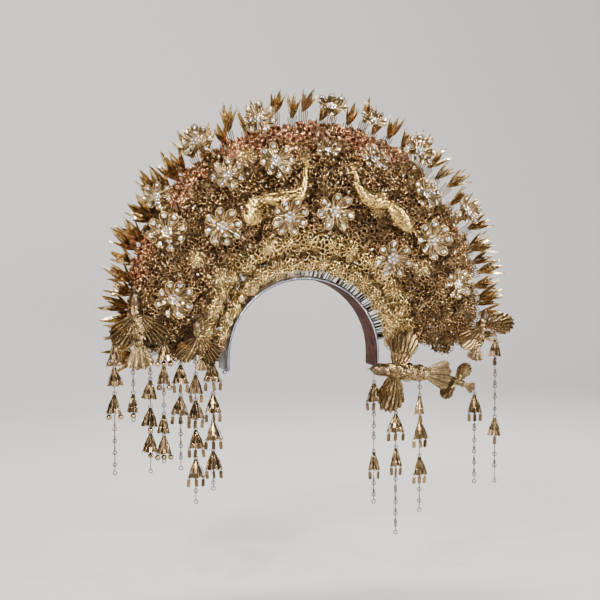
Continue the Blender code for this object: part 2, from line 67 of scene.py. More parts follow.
# rows: place of the strip from the front, radial share, head size as a share of the height, half angle
ROWS = {
    "gold_row_1": (0, 0.058, 0.108, 82), "gold_row_2": (1, 0.182, 0.152, 84),
    "bronze_row_1": (2, 0.330, 0.200, 85), "bronze_row_2": (3, 0.488, 0.200, 86),
    "bronze_row_3": (4, 0.645, 0.200, 86), "copper_row": (5, 0.785, 0.165, 80),
}
# rim blossoms: angle, share of the tip, size
BLOSSOMS = (
    (-89, 1.00, 1.15), (-81, 0.97, 1.00), (-73, 1.00, 0.95), (-65, 0.97, 0.90), (-57, 1.00, 1.00),
    (-50, 0.96, 0.95), (-43, 1.00, 1.00), (-37, 0.97, 0.90), (-31, 1.00, 0.95), (-25, 0.96, 0.95),
    (-19, 1.00, 1.05), (-13, 0.97, 0.95), (-7, 1.00, 0.95), (0, 0.99, 0.90), (7, 0.97, 0.90),
    (14, 0.99, 0.90), (21, 0.97, 0.90), (28, 0.98, 0.95), (35, 0.98, 0.95), (42, 1.00, 1.00),
    (48, 0.97, 1.00), (54, 1.00, 1.05), (60, 0.97, 1.00), (66, 1.00, 1.05), (72, 0.98, 1.00),
    (78, 1.00, 1.00), (85, 0.99, 0.95),
)
BLOSSOM_LEAN = math.radians(47)
RIM_PETAL_LENGTH = 0.038
RIM_STAND_LENGTH = 0.034
# the rim petals are long and uneven on the left, shorter over the top and shortest on the right
LONG_SIDE = -27
TOP_PETAL_SIZE = 0.84
LOW_ROSETTE_Z = -0.059
COPPER_SET_IN = 0.006
# on the right the coppery row sits nearer the band, so that the wires of the rim show
OPEN_SIDE = 33
OPEN_SET_IN = 0.011
OPEN_PETAL_SIZE = 0.78
OPEN_BLOSSOM_SIZE = 0.86
COPPER_ANGLES = ((-66, -51), (-42, -27), (-24, 27), (42, 72))
# single gold ring flowers over the bed: angle, radial share, diameter
ACCENTS = (
    (-49.9, 0.47, 0.019), (-18.6, 0.70, 0.019), (-49.2, 0.29, 0.021), (-22.0, 0.23, 0.021),
    (-62.0, 0.22, 0.020), (24.0, 0.44, 0.016), (52.0, 0.40, 0.018), (67.3, 0.10, 0.023),
)
# crystal flowers: angle, radial share, height over the field, diameter, lean away from the band
CRYSTALS = (
    (-13.6, 0.829, 0.032, 0.042, 0.1), (-12.1, 0.619, 0.026, 0.042, 0.2), (-28.9, 0.949, 0.032, 0.038, 0.2),
    (-26.1, 0.649, 0.024, 0.040, 0.5), (-36.1, 0.481, 0.026, 0.046, -0.1), (-49.1, 0.678, 0.026, 0.046, 0.1),
    (-43.9, 0.817, 0.030, 0.034, 0.4), (-66.1, 0.527, 0.034, 0.046, -0.1), (-13.9, 0.379, 0.046, 0.044, -0.2),
    (6.1, 0.371, 0.030, 0.046, 0.0), (3.9, 0.850, 0.030, 0.040, 1.5), (14.1, 0.829, 0.030, 0.034, 1.2),
    (3.7, 0.651, 0.018, 0.030, 1.4), (16.6, 0.650, 0.024, 0.036, 0.8), (27.2, 0.796, 0.030, 0.042, 0.3),
    (37.9, 0.293, 0.028, 0.046, -0.1), (44.9, 0.503, 0.026, 0.046, 0.1), (34.6, 0.647, 0.024, 0.038, 0.5),
    (46.7, 0.761, 0.030, 0.036, 0.3), (63.0, 0.533, 0.024, 0.036, 0.1),
)
# bare stems over the bed: start, end, wire radius
BARE_STEMS = (
    ((0.0142, -0.045, 0.1592), (0.0046, -0.070, 0.1378), 0.0009),
    ((0.0095, -0.045, 0.1206), (0.0063, -0.072, 0.1002), 0.0009),
    ((0.1352, -0.045, -0.0097), (0.1089, -0.068, -0.0332), 0.0016),
    ((0.1620, -0.045, -0.0207), (0.1620, -0.068, -0.0364), 0.0008),
)
# bright round drops by the gilt rows: angle, radial share, radius
DROPS = (
    (-48.8, 0.07, 0.0042), (-54.0, 0.05, 0.0032), (-41.0, 0.10, 0.0030), (-62.0, 0.10, 0.0030),
    (66.0, 0.16, 0.0030),
)
# the head band and its lining: inner radius, outer radius, half depth, length of the straight legs
BAND = (0.0813, 0.0825, 0.0200, 0.0140)
LINING = (0.0801, 0.0810, 0.0190, 0.0130)
LINING_WAVE = 0.0001
BAND_FACETS = 72
# round wires along the band's edges
EDGE_RADIUS, EDGE_Y, EDGE_WIRE, EDGE_LEG = 0.0820, 0.0198, 0.0010, 0.0136
# small knobs beside the band's ends
KNOB_RADIUS, KNOB_Y, KNOB_FROM_BAND, KNOB_DROP = 0.0026, -0.0165, 0.0850, 0.0150
KNOB_HOLD_RADIUS, KNOB_HOLD_DROP = 0.0822, 0.0100
# wire radii
ROW_WIRE, ROW_ELBOW = 0.0006, 0.00062
STRIP_WIRE, STRIP_WIRE_GAP, STRIP_REACH = 0.0007, 0.0014, 80
STEM_WIRE = 0.0005
LEG_WIRE = 0.0009
RIM_STEM_WIRE, RIM_TIE, RIM_FAN_WIRE = 0.0008, 0.0014, 0.00055
RIM_FAN_SPREAD = (-0.0046, -0.0023, 0, 0.0023, 0.0046)


# layout helpers
def reach(angle):
    turn = math.radians(angle)
    return FAN_RISE * math.cos(turn) + math.sqrt(FAN_RADIUS ** 2 - (FAN_RISE * math.sin(turn)) ** 2)


def arch_point(angle, radius, y):
    turn = math.radians(angle)
    return Vector((radius * math.sin(turn), y, HOOP_Z + radius * math.cos(turn)))


def field_point(angle, share):
    radius = FIELD_INNER + share * (reach(angle) - FIELD_INNER)
    return arch_point(angle, radius, FIELD_FRONT - FIELD_BULGE * math.sin(math.pi * min(1, 1.1 * share)))


def field_normal(angle, share):
    along = field_point(angle + 1, share) - field_point(angle - 1, share)
    outward = field_point(angle, share + 0.01) - field_point(angle, share - 0.01)
    normal = along.cross(outward).normalized()
    return normal if normal.y < 0 else -normal


def above_field(angle, share, height):
    """Place at a height over the field of flowers, and the field's normal there."""
    normal = field_normal(angle, share)
    return field_point(angle, share) + normal * height, normal


def outward_at(angle):
    return (arch_point(angle, 1, 0) - arch_point(angle, 0, 0)).normalized()


def moved(place):
    return Matrix.Translation(place)


def turned(degrees, axis):
    return Matrix.Rotation(math.radians(degrees), 4, axis)


def sized(size):
    return Matrix.Scale(size, 4)


def facing(place, normal, spin=0.0, size=1.0):
    """Matrix with local Z along a normal, turned by spin degrees."""
    turn = normal.to_track_quat("Z", "Y").to_matrix().to_4x4()
    return moved(place) @ turn @ turned(spin, "Z") @ sized(size)


def between(start, end, radius):
    """Matrix that lays the unit stick from start to end."""
    span = end - start
    turn = span.to_track_quat("Z", "Y").to_matrix().to_4x4()
    return moved(start) @ turn @ Matrix.Diagonal((radius, radius, span.length, 1))


def rod(start, end, radius):
    return STICK, between(start, end, radius)


def bead_at(place, radius):
    return BEAD, moved(place) @ sized(radius)


def heads_of(row):
    """Place, normal, spin, size and angle of each flower head in a row of the solids."""
    place, share, size_share, half_angle = ROWS[row]
    half = []
    angle = 0
    while angle <= half_angle:
        height = reach(angle) - FIELD_INNER
        size = max(size_share * height, SMALLEST_HEAD)
        half.append((angle, size))
        angle += math.degrees(size * HEAD_SPACING / (FIELD_INNER + share * height))
    heads = []
    for step, (angle, size) in enumerate([(-a, s) for a, s in reversed(half[1:])] + half):
        normal = field_normal(angle, share)
        layer = 2 * ((place + 1) % 2) + step % 2 - 1
        middle = field_point(angle, share) + normal * HEAD_LAYER * layer
        heads.append((middle, normal, step * GOLDEN_ANGLE, size, angle))
    return heads


def back_of(name):
    """How far back a solid of the crown reaches."""
    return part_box(name)[1][1]


def root_on_strip(angle, place):
    held = min(max(angle, -ROOTS_END), ROOTS_END)
    return arch_point(held, STRIP_RADIUS, (place - MIDDLE_STRIP) * STRIP_PITCH)


# small shapes, each a mesh that is copied many times
def shape(bm, smooth=True):
    bmesh.ops.recalc_face_normals(bm, faces=bm.faces)
    for face in bm.faces:
        face.smooth = smooth
    mesh = bpy.data.meshes.new("shape")
    bm.to_mesh(mesh)
    bm.free()
    return mesh


def ring_bm(radius, wire, steps, sides):
    bm = bmesh.new()
    start = moved((radius, 0, 0)) @ turned(90, "X")
    bmesh.ops.create_circle(bm, segments=sides, radius=wire, matrix=start)
    bmesh.ops.spin(bm, geom=bm.verts[:] + bm.edges[:], cent=(0, 0, 0), axis=(0, 0, 1),
                   angle=2 * math.pi, steps=steps, use_merge=True)
    bmesh.ops.remove_doubles(bm, verts=bm.verts, dist=wire * 0.01)
    return bm


def ring(radius, wire, steps=8, sides=4):
    return shape(ring_bm(radius, wire, steps, sides))


def petal_loop(length, width, wire, base=0.0, cup=0.0, pinch=0.7, steps=14, sides=4):
    """Closed wire loop, narrow at its base and round at its tip, along local +X."""
    bm = ring_bm(1, wire, steps, sides)
    for vert in bm.verts:
        around = math.atan2(vert.co.y, vert.co.x)
        offset = vert.co - Vector((math.cos(around), math.sin(around), 0))
        along = 0.5 - 0.5 * math.cos(around)
        side = math.sin(around) * width / 2 * (1 - pinch * (1 - along))
        flipped = Vector((-offset.x, offset.y, offset.z))
        vert.co = Vector((base + length * along, side, cup * along ** 2)) + flipped
    return shape(bm)


def stick(tip=1.0):
    """Unit stick along local +Z, pointed where the tip's radius is smaller."""
    bm = bmesh.new()
    bmesh.ops.create_cone(bm, cap_ends=True, segments=5, radius1=1, radius2=tip, depth=1,
                          matrix=moved((0, 0, 0.5)))
    return shape(bm)


def ball(radius, subdivisions=1):
    bm = bmesh.new()
    bmesh.ops.create_icosphere(bm, subdivisions=subdivisions, radius=radius)
    return shape(bm)


def cut_stone(radius):
    """Eight-sided stone with a table, crown and pointed pavilion, table towards +Z."""
    bm = bmesh.new()
    table, crown = radius * 0.48, radius * 0.56
    bmesh.ops.create_cone(bm, cap_ends=True, segments=8, radius1=radius, radius2=table, depth=crown,
                          matrix=moved((0, 0, crown / 2)))
    under = [face for face in bm.faces if face.calc_center_median().z < radius * 0.01]
    middle = bmesh.ops.poke(bm, faces=under)["verts"]
    bmesh.ops.translate(bm, verts=middle, vec=(0, 0, -radius * 0.75))
    return shape(bm, False)


def blade(length, width, fold, ridges=0.0, lift=0.0, thickness=0.00035, rows=8, widest=0.35):
    """Folded pointed leaf along local +Y: a raised middle rib, cross ridges and a lifted tip."""
    bm = bmesh.new()
    painted_hollow_shade = bm.verts.layers.float.new("painted_hollow_shade")
    bmesh.ops.create_grid(bm, x_segments=2, y_segments=rows, size=1)
    for vert in bm.verts:
        side = vert.co.x
        along = (vert.co.y + 1) / 2
        row = round(along * rows)
        swell = along / widest if along < widest else (1 - along) / (1 - widest)
        half = width / 2 * math.sin(math.pi / 2 * swell)
        half = max(half, width * (0.14 if along < widest else 0.01))
        height = fold * (1 - abs(side)) * (half / width * 2) ** 0.5 + lift * along ** 2
        if ridges and 0 < row < rows:
            height += ridges * (1 if row % 2 else -1) * (1 - 0.5 * abs(side))
        # painted shade: every other cross-ridge row is darkened, and a plain leaf is darkened at its base,
        # under the leaf laid over it
        vert[painted_hollow_shade] = 0.55 * (1 - row % 2) * (row < rows) if ridges else 0.7 * (along < 0.3)
        vert.co = Vector((side * half, along * length, height))
    bmesh.ops.solidify(bm, geom=bm.faces[:], thickness=thickness)
    return shape(bm, False)


def ribbed_fan(length, spread, ribs, rib, narrow, bead=0.0, curl=0.003, rows=12):
    """Stamped fan along local +Y with ribs, beaded where a bead size is given, and a scalloped edge."""
    bm = bmesh.new()
    painted_hollow_shade = bm.verts.layers.float.new("painted_hollow_shade")
    columns = 2 * ribs
    bmesh.ops.create_grid(bm, x_segments=columns, y_segments=rows, size=1)
    seats = []
    for vert in bm.verts:
        column = round((vert.co.x + 1) / 2 * columns)
        row = round((vert.co.y + 1) / 2 * rows)
        across, along = vert.co.x, row / rows
        ridge = column % 2
        turn = (across + 0.10 * across * math.sin(math.pi * along)) * math.radians(spread) / 2
        radius = length * (0.10 + 0.90 * along) * (1 - narrow * across ** 2)
        if row == rows and not ridge:
            radius *= 0.94
        height = rib * (ridge - 0.5) * (0.3 + 0.7 * along)
        height += curl * math.sin(math.pi * along) * (1 - across ** 2)
        vert.co = Vector((radius * math.sin(turn), radius * math.cos(turn), height))
        # painted shade: the grooves between the ribs are fully darkened
        vert[painted_hollow_shade] = 0.0 if ridge else 1.0
        if ridge and row > 2 and row % 2:
            seats.append(vert.co.copy())
    bmesh.ops.solidify(bm, geom=bm.faces[:], thickness=0.0004)
    if bead:
        for seat in seats:
            bmesh.ops.create_icosphere(bm, subdivisions=1, radius=bead, matrix=moved(seat))
    return shape(bm, False)


def sheet_flower(petals, dome, thickness=0.03):
    """Flat stamped flower one unit across."""
    bm = bmesh.new()
    made = bmesh.ops.create_circle(bm, cap_ends=True, cap_tris=True, segments=2 * petals, radius=0.5)["verts"]
    rim = [vert for vert in made if vert.co.length > 0.1]
    rim.sort(key=lambda vert: math.atan2(vert.co.y, vert.co.x))
    for step, vert in enumerate(rim):
        vert.co *= 1 if step % 2 else 0.52
    for vert in made:
        if vert.co.length < 0.1:
            vert.co.z = dome
    bmesh.ops.solidify(bm, geom=bm.faces[:], thickness=thickness)
    return shape(bm, False)


def bell_cap(width, height, folds=9):
    """Pointed bell of thin sheet with deep flutes, its top on the origin and its mouth below."""
    bm = bmesh.new()
    painted_hollow_shade = bm.verts.layers.float.new("painted_hollow_shade")
    bmesh.ops.create_cone(bm, cap_ends=False, segments=2 * folds, radius1=width / 2, radius2=0.0012,
                          depth=height, matrix=moved((0, 0, -height / 2)))
    slanted = [edge for edge in bm.edges if abs(edge.verts[0].co.z - edge.verts[1].co.z) > height / 2]
    bmesh.ops.subdivide_edges(bm, edges=slanted, cuts=3)
    for vert in bm.verts:
        down = -vert.co.z / height
        step = round(math.degrees(math.atan2(vert.co.y, vert.co.x)) / (180 / folds))
        bulge = 1 + 0.16 * math.sin(math.pi * down)
        flute = 1 - 0.30 * min(1, 1.8 * down) * (step % 2)
        vert.co.x *= bulge * flute
        vert.co.y *= bulge * flute
        vert.co.z -= 0.0010 * (1 - step % 2) * (down > 0.95)
        # painted shade: the inward flutes are darkened
        vert[painted_hollow_shade] = step % 2
    bmesh.ops.solidify(bm, geom=bm.faces[:], thickness=0.0004)
    return shape(bm, False)


def drop_tab(width, length, thickness=0.0007):
    """Flat tab with rounded corners and a raised rib, hung from the origin."""
    bm = bmesh.new()
    bmesh.ops.create_cube(bm, size=1, matrix=moved((0, 0, -length / 2 - 0.0006))
                          @ Matrix.Diagonal((width, thickness, length, 1)))
    upright = [edge for edge in bm.edges if abs(edge.verts[0].co.y - edge.verts[1].co.y) > thickness / 2]
    bmesh.ops.bevel(bm, geom=upright, offset=width * 0.28, offset_type="OFFSET", segments=2, profile=0.5,
                    affect="EDGES", material=-1)
    front = [face for face in bm.faces if abs(face.normal.y) > 0.9]
    bmesh.ops.inset_individual(bm, faces=front, thickness=width * 0.14, depth=thickness * 0.35)
    return shape(bm, False)


def tube(stations, sides=12):
    """Closed round body through stations of (place, radius, flatness)."""
    bm = bmesh.new()
    loops = []
    for step, (place, radius, flat) in enumerate(stations):
        before = stations[max(step - 1, 0)][0]
        after = stations[min(step + 1, len(stations) - 1)][0]
        way = (after - before).normalized()
        across = way.cross(FRONT).normalized()
        axes = Matrix((across, FRONT, way)).transposed().to_4x4()
        matrix = moved(place) @ axes @ Matrix.Diagonal((1, flat, 1, 1))
        made = bmesh.ops.create_circle(bm, segments=sides, radius=radius, matrix=matrix)["verts"]
        loops.append([edge for edge in bm.edges if edge.verts[0] in made and edge.verts[1] in made])
    for first, second in zip(loops, loops[1:]):
        bmesh.ops.bridge_loops(bm, edges=first + second)
    bmesh.ops.holes_fill(bm, edges=loops[0] + loops[-1], sides=sides)
    return shape(bm)


def smooth_way(rows, count):
    """So many stations, evenly spread, on a smooth line through (place, radius, flatness) rows."""
    spans = len(rows) - 1
    out = []
    for step in range(count):
        t = step / (count - 1) * spans
        i = min(int(t), spans - 1)
        u = t - i
        four = [rows[min(max(i + k, 0), spans)] for k in (-1, 0, 1, 2)]
        blend = (-0.5 * u + u * u - 0.5 * u ** 3, 1 - 2.5 * u * u + 1.5 * u ** 3,
                 0.5 * u + 2 * u * u - 1.5 * u ** 3, -0.5 * u * u + 0.5 * u ** 3)
        place = sum((row[0] * share for row, share in zip(four, blend)), Vector((0, 0, 0)))
        radius = max(sum(row[1] * share for row, share in zip(four, blend)), 0.0002)
        flat = sum(row[2] * share for row, share in zip(four, blend))
        out.append((place, radius, flat))
    return out


def arrays_of(mesh):
    """Places, corners, face starts, face sizes, smoothness, tone and painted shade in the hollows of a shape.
    """
    def read(items, name, kind, width=1):
        values = np.zeros(len(items) * width, kind)
        items.foreach_get(name, values)
        return values

    def point_values(name):
        if name in mesh.attributes:
            return read(mesh.attributes[name].data, "value", np.float32)
        return np.zeros(len(mesh.vertices), np.float32)

    return (
        read(mesh.vertices, "co", np.float32, 3).reshape(-1, 3), read(mesh.loops, "vertex_index", np.int32),
        read(mesh.polygons, "loop_start", np.int32), read(mesh.polygons, "loop_total", np.int32),
        read(mesh.polygons, "use_smooth", bool), point_values("tone"), point_values("painted_hollow_shade"),
    )


def gather(name, copies):
    """One mesh from many (shape, matrix) copies, with a tone value on each copy."""
    known, parts = {}, []
    vertex_count = corner_count = 0
    for mesh, matrix in copies:
        if mesh.name not in known:
            known[mesh.name] = arrays_of(mesh)
        places, corners, starts, totals, smooth, tone, painted_hollow_shade = known[mesh.name]
        grid = np.array(matrix, np.float32)
        parts.append((
            places @ grid[:3, :3].T + grid[:3, 3], corners + vertex_count, starts + corner_count,
            totals, smooth, np.mod(tone + rng.random(), 1), painted_hollow_shade,
        ))
        vertex_count += len(places)
        corner_count += len(corners)
    columns = (np.concatenate(column) for column in zip(*parts))
    places, corners, starts, totals, smooth, tones, painted_hollow_shades = columns
    joined = bpy.data.meshes.new(name)
    joined.vertices.add(vertex_count)
    joined.vertices.foreach_set("co", places.ravel())
    joined.loops.add(corner_count)
    joined.loops.foreach_set("vertex_index", corners)
    joined.polygons.add(len(starts))
    joined.polygons.foreach_set("loop_start", starts)
    joined.polygons.foreach_set("loop_total", totals)
    joined.polygons.foreach_set("use_smooth", smooth)
    joined.update(calc_edges=True)
    for attribute, values in (("tone", tones), ("painted_hollow_shade", painted_hollow_shades)):
        joined.attributes.new(attribute, "FLOAT", "POINT").data.foreach_set("value", values)
    return joined


def piece(name, copies, material, slot, *nodes):
    """A finished piece of the crown from its copies, standing for the named solids."""
    item = bpy.data.objects.new(name, gather(name, copies))
    item.data.materials.append(material)
    bpy.context.scene.collection.objects.link(item)
    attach(item, "root")
    if nodes:
        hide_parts(*nodes)


# finishes
def feed(tree, sockets, values):
    """Gives each named socket its value, or a link where the value comes from another node."""
    for name, value in values.items():
        if isinstance(value, bpy.types.NodeSocket):
            tree.links.new(value, sockets[name])
        else:
            sockets[name].default_value = value


def node(tree, kind, values=None, **settings):
    """Outputs of a new shader node."""
    made = tree.nodes.new("ShaderNode" + kind)
    for name, value in settings.items():
        setattr(made, name, value)
    feed(tree, made.inputs, values or {})
    return made.outputs


def effect(name, given, results):
    """New node group with its named inputs and outputs."""
    group = bpy.data.node_groups.new(name, "ShaderNodeTree")
    for way, sockets in (("INPUT", given), ("OUTPUT", results)):
        for label, value in sockets.items():
            kind = "NodeSocketColor" if isinstance(value, tuple) else "NodeSocketFloat"
            group.interface.new_socket(name=label, in_out=way, socket_type=kind).default_value = value
    return group, group.nodes.new("NodeGroupInput").outputs, group.nodes.new("NodeGroupOutput").inputs


def patina_group():
    """Soft tarnish in cloudy patches, and painted shade in the hollows of a stamped piece, with fine specks
    over it.
    """
    given = {"Patch Scale": 60, "Speck Scale": 900, "Amount": 0.5}
    group, given, results = effect("patina_and_painted_shade", given, {"Mask": 0, "Height": 0})
    where = node(group, "TexCoord")["Object"]
    patch = node(group, "TexNoise", {"Vector": where, "Scale": given["Patch Scale"], "Detail": 5})["Fac"]
    speck = node(group, "TexNoise", {"Vector": where, "Scale": given["Speck Scale"], "Detail": 2})["Fac"]
    both = node(group, "Math", {0: speck, 1: 0.45, 2: patch}, operation="MULTIPLY_ADD")[0]
    spread = node(group, "MapRange", {"Value": both, "From Min": 0.58, "From Max": 0.92})["Result"]
    cloudy = node(group, "Math", {0: spread, 1: given["Amount"]}, operation="MULTIPLY")[0]
    # painted shade: this attribute darkens each shape's hollows, flutes and grooves, where shade falls
    painted_hollow_shade = node(group, "Attribute", attribute_name="painted_hollow_shade")["Fac"]
    tarnish_and_shade = node(group, "Math", {0: cloudy, 1: painted_hollow_shade}, operation="MAXIMUM")[0]
    feed(group, results, {"Mask": tarnish_and_shade, "Height": speck})
    return group


def granule_group():
    """Close round grains, as on stamped and granulated sheet, with painted shade dark between the grains."""
    group, given, results = effect("granules", {"Scale": 900, "Mask": 0}, {"Mask": 0, "Height": 0})
    where = node(group, "TexCoord")["Object"]
    cells = node(group, "TexVoronoi", {"Vector": where, "Scale": given["Scale"]})["Distance"]
    grain = node(group, "Math", {0: 1, 1: cells}, operation="SUBTRACT")[0]
    # painted shade: the gaps between the grains are darkened
    edges = {"Value": cells, "From Min": 0.36, "From Max": 0.68, "To Max": 0.95}
    painted_gap_shade = node(group, "MapRange", edges)["Result"]
    tarnish_and_shade = node(group, "Math", {0: painted_gap_shade, 1: given["Mask"]}, operation="MAXIMUM")[0]
    feed(group, results, {"Mask": tarnish_and_shade, "Height": grain})
    return group


def tone_group():
    """Lightness of each small piece from its own tone value."""
    plain = (1, 1, 1, 1)
    group, given, results = effect("piece_tone", {"Colour": plain, "Spread": 0.5}, {"Colour": plain})
    tone = node(group, "Attribute", attribute_name="tone")["Fac"]
    darkest = node(group, "Math", {0: 1, 1: given["Spread"]}, operation="SUBTRACT")[0]
    light = node(group, "MapRange", {"Value": tone, "To Min": darkest})["Result"]
    changed = node(group, "HueSaturation", {"Value": light, "Color": given["Colour"]})["Color"]
    feed(group, results, {"Colour": changed})
    return group


PATINA_AND_SHADE = patina_group()
GRANULES = granule_group()
TONE = tone_group()


def finish(name):
    """New material, its nodes and the inputs of its shader."""
    material = bpy.data.materials.new(name)
    material.use_nodes = True
    return material, material.node_tree, material.node_tree.nodes["Principled BSDF"].inputs


def mixed(tree, share, first, second):
    colours = {"Factor": share, "A": (*first, 1), "B": (*second, 1)}
    return node(tree, "Mix", colours, data_type="RGBA")["Result"]


def metal(name, bright, dark, smooth, dull, amount, patch, spread=0.45, grains=0, grain_height=0.0001):
    """Worn metal: bright and dark colours mixed by the patina's tarnish and painted shade, with grains if it
    is stamped.
    """
    material, tree, shader = finish(name)
    patina_and_painted_shade = node(tree, "Group", {"Patch Scale": patch, "Amount": amount}, node_tree=PATINA_AND_SHADE)
    mask, height = patina_and_painted_shade["Mask"], patina_and_painted_shade["Height"]
    rough = node(tree, "MapRange", {"Value": mask, "To Min": smooth, "To Max": dull})["Result"]
    if grains:
        grain = node(tree, "Group", {"Scale": grains, "Mask": mask}, node_tree=GRANULES)
        mask, height = grain["Mask"], grain["Height"]
    # the dark colour stands for tarnish and for painted shade in hollows and between grains
    colour = mixed(tree, mask, bright, dark)
    toned = node(tree, "Group", {"Colour": colour, "Spread": spread}, node_tree=TONE)["Colour"]
    relief = {"Height": height, "Distance": grain_height, "Strength": 0.9 if grains else 0.25}
    bump = node(tree, "Bump", relief)["Normal"]
    feed(tree, shader, {"Metallic": 1, "Base Color": toned, "Roughness": rough, "Normal": bump})
    return material


def clear_stone():
    """Foil-backed cut glass, clear with a cold or a warm cast and small inner facets."""
    material, tree, shader = finish("clear_stone")
    tone = node(tree, "Attribute", attribute_name="tone")["Fac"]
    colour = mixed(tree, tone, (0.42, 0.54, 0.78), (1.0, 0.97, 0.92))
    where = node(tree, "TexCoord")["Object"]
    cells = node(tree, "TexVoronoi", {"Vector": where, "Scale": 620})["Distance"]
    rough = node(tree, "MapRange", {"Value": cells, "To Min": 0.03, "To Max": 0.10})["Result"]
    bump = node(tree, "Bump", {"Height": cells, "Strength": 0.7, "Distance": 0.0006})["Normal"]
    feed(tree, shader, {
        "Transmission Weight": 0.10, "Metallic": 0.88, "IOR": 1.8, "Coat Weight": 1, "Coat Roughness": 0.02,
        "Base Color": colour, "Roughness": rough, "Normal": bump,
    })
    return material


def lining_cloth():
    """Reddish-brown woven tape, mottled with wear."""
    material, tree, shader = finish("lining_cloth")
    worn = node(tree, "Group", {"Patch Scale": 120, "Amount": 1}, node_tree=PATINA_AND_SHADE)["Mask"]
    colour = mixed(tree, worn, (0.085, 0.028, 0.019), (0.022, 0.011, 0.010))
    where = node(tree, "TexCoord")["Object"]
    weave = node(tree, "TexWave", {"Vector": where, "Scale": 260, "Distortion": 1.5})["Fac"]
    bump = node(tree, "Bump", {"Height": weave, "Distance": 0.0003})["Normal"]
    rough = node(tree, "MapRange", {"Value": worn, "To Min": 0.75, "To Max": 0.95})["Result"]
    feed(tree, shader, {"Specular IOR Level": 0.2, "Base Color": colour, "Roughness": rough, "Normal": bump})
    return material


# bright colour, dark colour for tarnish and painted shade, their roughnesses, tarnish amount and patch scale,
# spread of the tones, and the scale and height of the grains
STEEL = metal("worn_steel", (0.56, 0.62, 0.74), (0.20, 0.20, 0.23), 0.16, 0.4, 0.7, 50, 0.1)
DARK_STEEL = metal("dark_steel", (0.13, 0.11, 0.11), (0.05, 0.03, 0.025), 0.3, 0.6, 1.0, 50, 0.1)
PIN_STEEL = metal("pin_steel", (0.90, 0.89, 0.88), (0.40, 0.34, 0.27), 0.34, 0.5, 0.5, 80, 0.2)
LINK = metal("link_wire", (0.24, 0.19, 0.15), (0.08, 0.06, 0.045), 0.25, 0.5, 0.8, 80, 0.3)
GOLD = metal("bright_gold", (1.0, 0.75, 0.32), (0.42, 0.22, 0.06), 0.11, 0.26, 0.6, 90, 0.30)
# painted shade: the backing behind the gilt rosettes is near black, for the shade in the gaps behind them
SHADE_GOLD = metal("back_gold_painted_shade", (0.20, 0.12, 0.045), (0.07, 0.04, 0.018), 0.3, 0.6, 0.9, 60, 0.4)
BRONZE = metal("old_bronze", (0.68, 0.43, 0.185), (0.11, 0.058, 0.030), 0.14, 0.40, 0.9, 45, 0.6)
# partly bead centres and partly painted glints: pale beads strewn over the bronze sprigs
PALE_GLINT_BEAD = metal("pale_bead", (0.92, 0.76, 0.54), (0.36, 0.25, 0.14), 0.12, 0.3, 0.6, 90, 0.4)
# painted shade: back layers of sheet flowers are coloured near black, for the shade between the flowers
SHADE_SHEET = metal("back_sheet_painted_shade", (0.13, 0.08, 0.040), (0.04, 0.024, 0.015), 0.3, 0.6, 0.9, 60, 0.5)
DARK_WIRE = metal("dark_wire", (0.24, 0.15, 0.07), (0.05, 0.03, 0.02), 0.3, 0.6, 0.9, 60, 0.4)
COPPER = metal("copper_red", (0.97, 0.53, 0.29), (0.22, 0.09, 0.045), 0.12, 0.34, 0.8, 60, 0.5)
RIM_GOLD = metal("rim_gold", (1.0, 0.80, 0.48), (0.28, 0.185, 0.10), 0.17, 0.32, 0.4, 35, 0.35)
FLOWER_WIRE = metal("flower_wire", (0.96, 0.65, 0.27), (0.20, 0.13, 0.065), 0.13, 0.36, 0.8, 60, 0.35)
FLOWER_SHEET = metal("flower_sheet", (0.105, 0.078, 0.045), (0.032, 0.026, 0.020), 0.24, 0.45, 0.9, 70, 0.5)
PEACOCK = metal("peacock_gold", (0.96, 0.65, 0.21), (0.11, 0.062, 0.02), 0.15, 0.30, 0.7, 40, 0.1,
                520, 0.00032)
BIRD = metal("bird_gold", (0.62, 0.42, 0.19), (0.045, 0.028, 0.018), 0.15, 0.38, 0.9, 40, 0.45, 900, 0.00015)
BIRD_HEAD = metal("bird_head", (0.20, 0.13, 0.075), (0.05, 0.03, 0.02), 0.25, 0.5, 0.9, 60, 0.2)
# painted light and shade: the caps are a darker copy of the bell bronze, for shade in the flutes, and the
# ribs a lighter copy, painted as lit
SHADED_BELL = metal("bell_bronze", (0.36, 0.24, 0.12), (0.04, 0.027, 0.018), 0.18, 0.42, 0.9, 60, 0.6)
LIT_BELL_RIB = metal("bell_rib", (0.74, 0.52, 0.26), (0.16, 0.10, 0.05), 0.14, 0.4, 0.9, 60, 0.6)
STONE = clear_stone()
CLOTH = lining_cloth()

STICK = stick()
THORN = stick(0.12)
BEAD = ball(1.0)


# head band
def bent_strip(inner, outer, half_depth, leg, wave=0.0):
    """U-shaped strip with straight legs, its section from inner to outer radius."""
    leg_steps = 3
    columns = BAND_FACETS + 2 * leg_steps
    bm = bmesh.new()
    bmesh.ops.create_grid(bm, x_segments=columns, y_segments=1, size=1)
    for vert in bm.verts:
        step = round((vert.co.x + 1) / 2 * columns) - leg_steps
        drop = leg * max(-step, step - BAND_FACETS, 0) / leg_steps
        angle = -90 + 180 * min(max(step, 0), BAND_FACETS) / BAND_FACETS
        radius = outer if vert.co.y > 0 else inner + wave * math.sin(step * 2.1)
        vert.co = arch_point(angle, radius, -half_depth) - Vector((0, 0, drop))
    grown = bmesh.ops.extrude_face_region(bm, geom=bm.faces[:])
    back = [item for item in grown["geom"] if isinstance(item, bmesh.types.BMVert)]
    bmesh.ops.translate(bm, verts=back, vec=(0, 2 * half_depth, 0))
    bmesh.ops.recalc_face_normals(bm, faces=bm.faces)
    sharp = [edge for edge in bm.edges if edge.calc_face_angle(0) > 1.0]
    bmesh.ops.bevel(bm, geom=sharp, offset=min(outer - inner, 0.001) * 0.3, offset_type="OFFSET", segments=2,
                    profile=0.5, affect="EDGES", material=-1)
    return shape(bm)


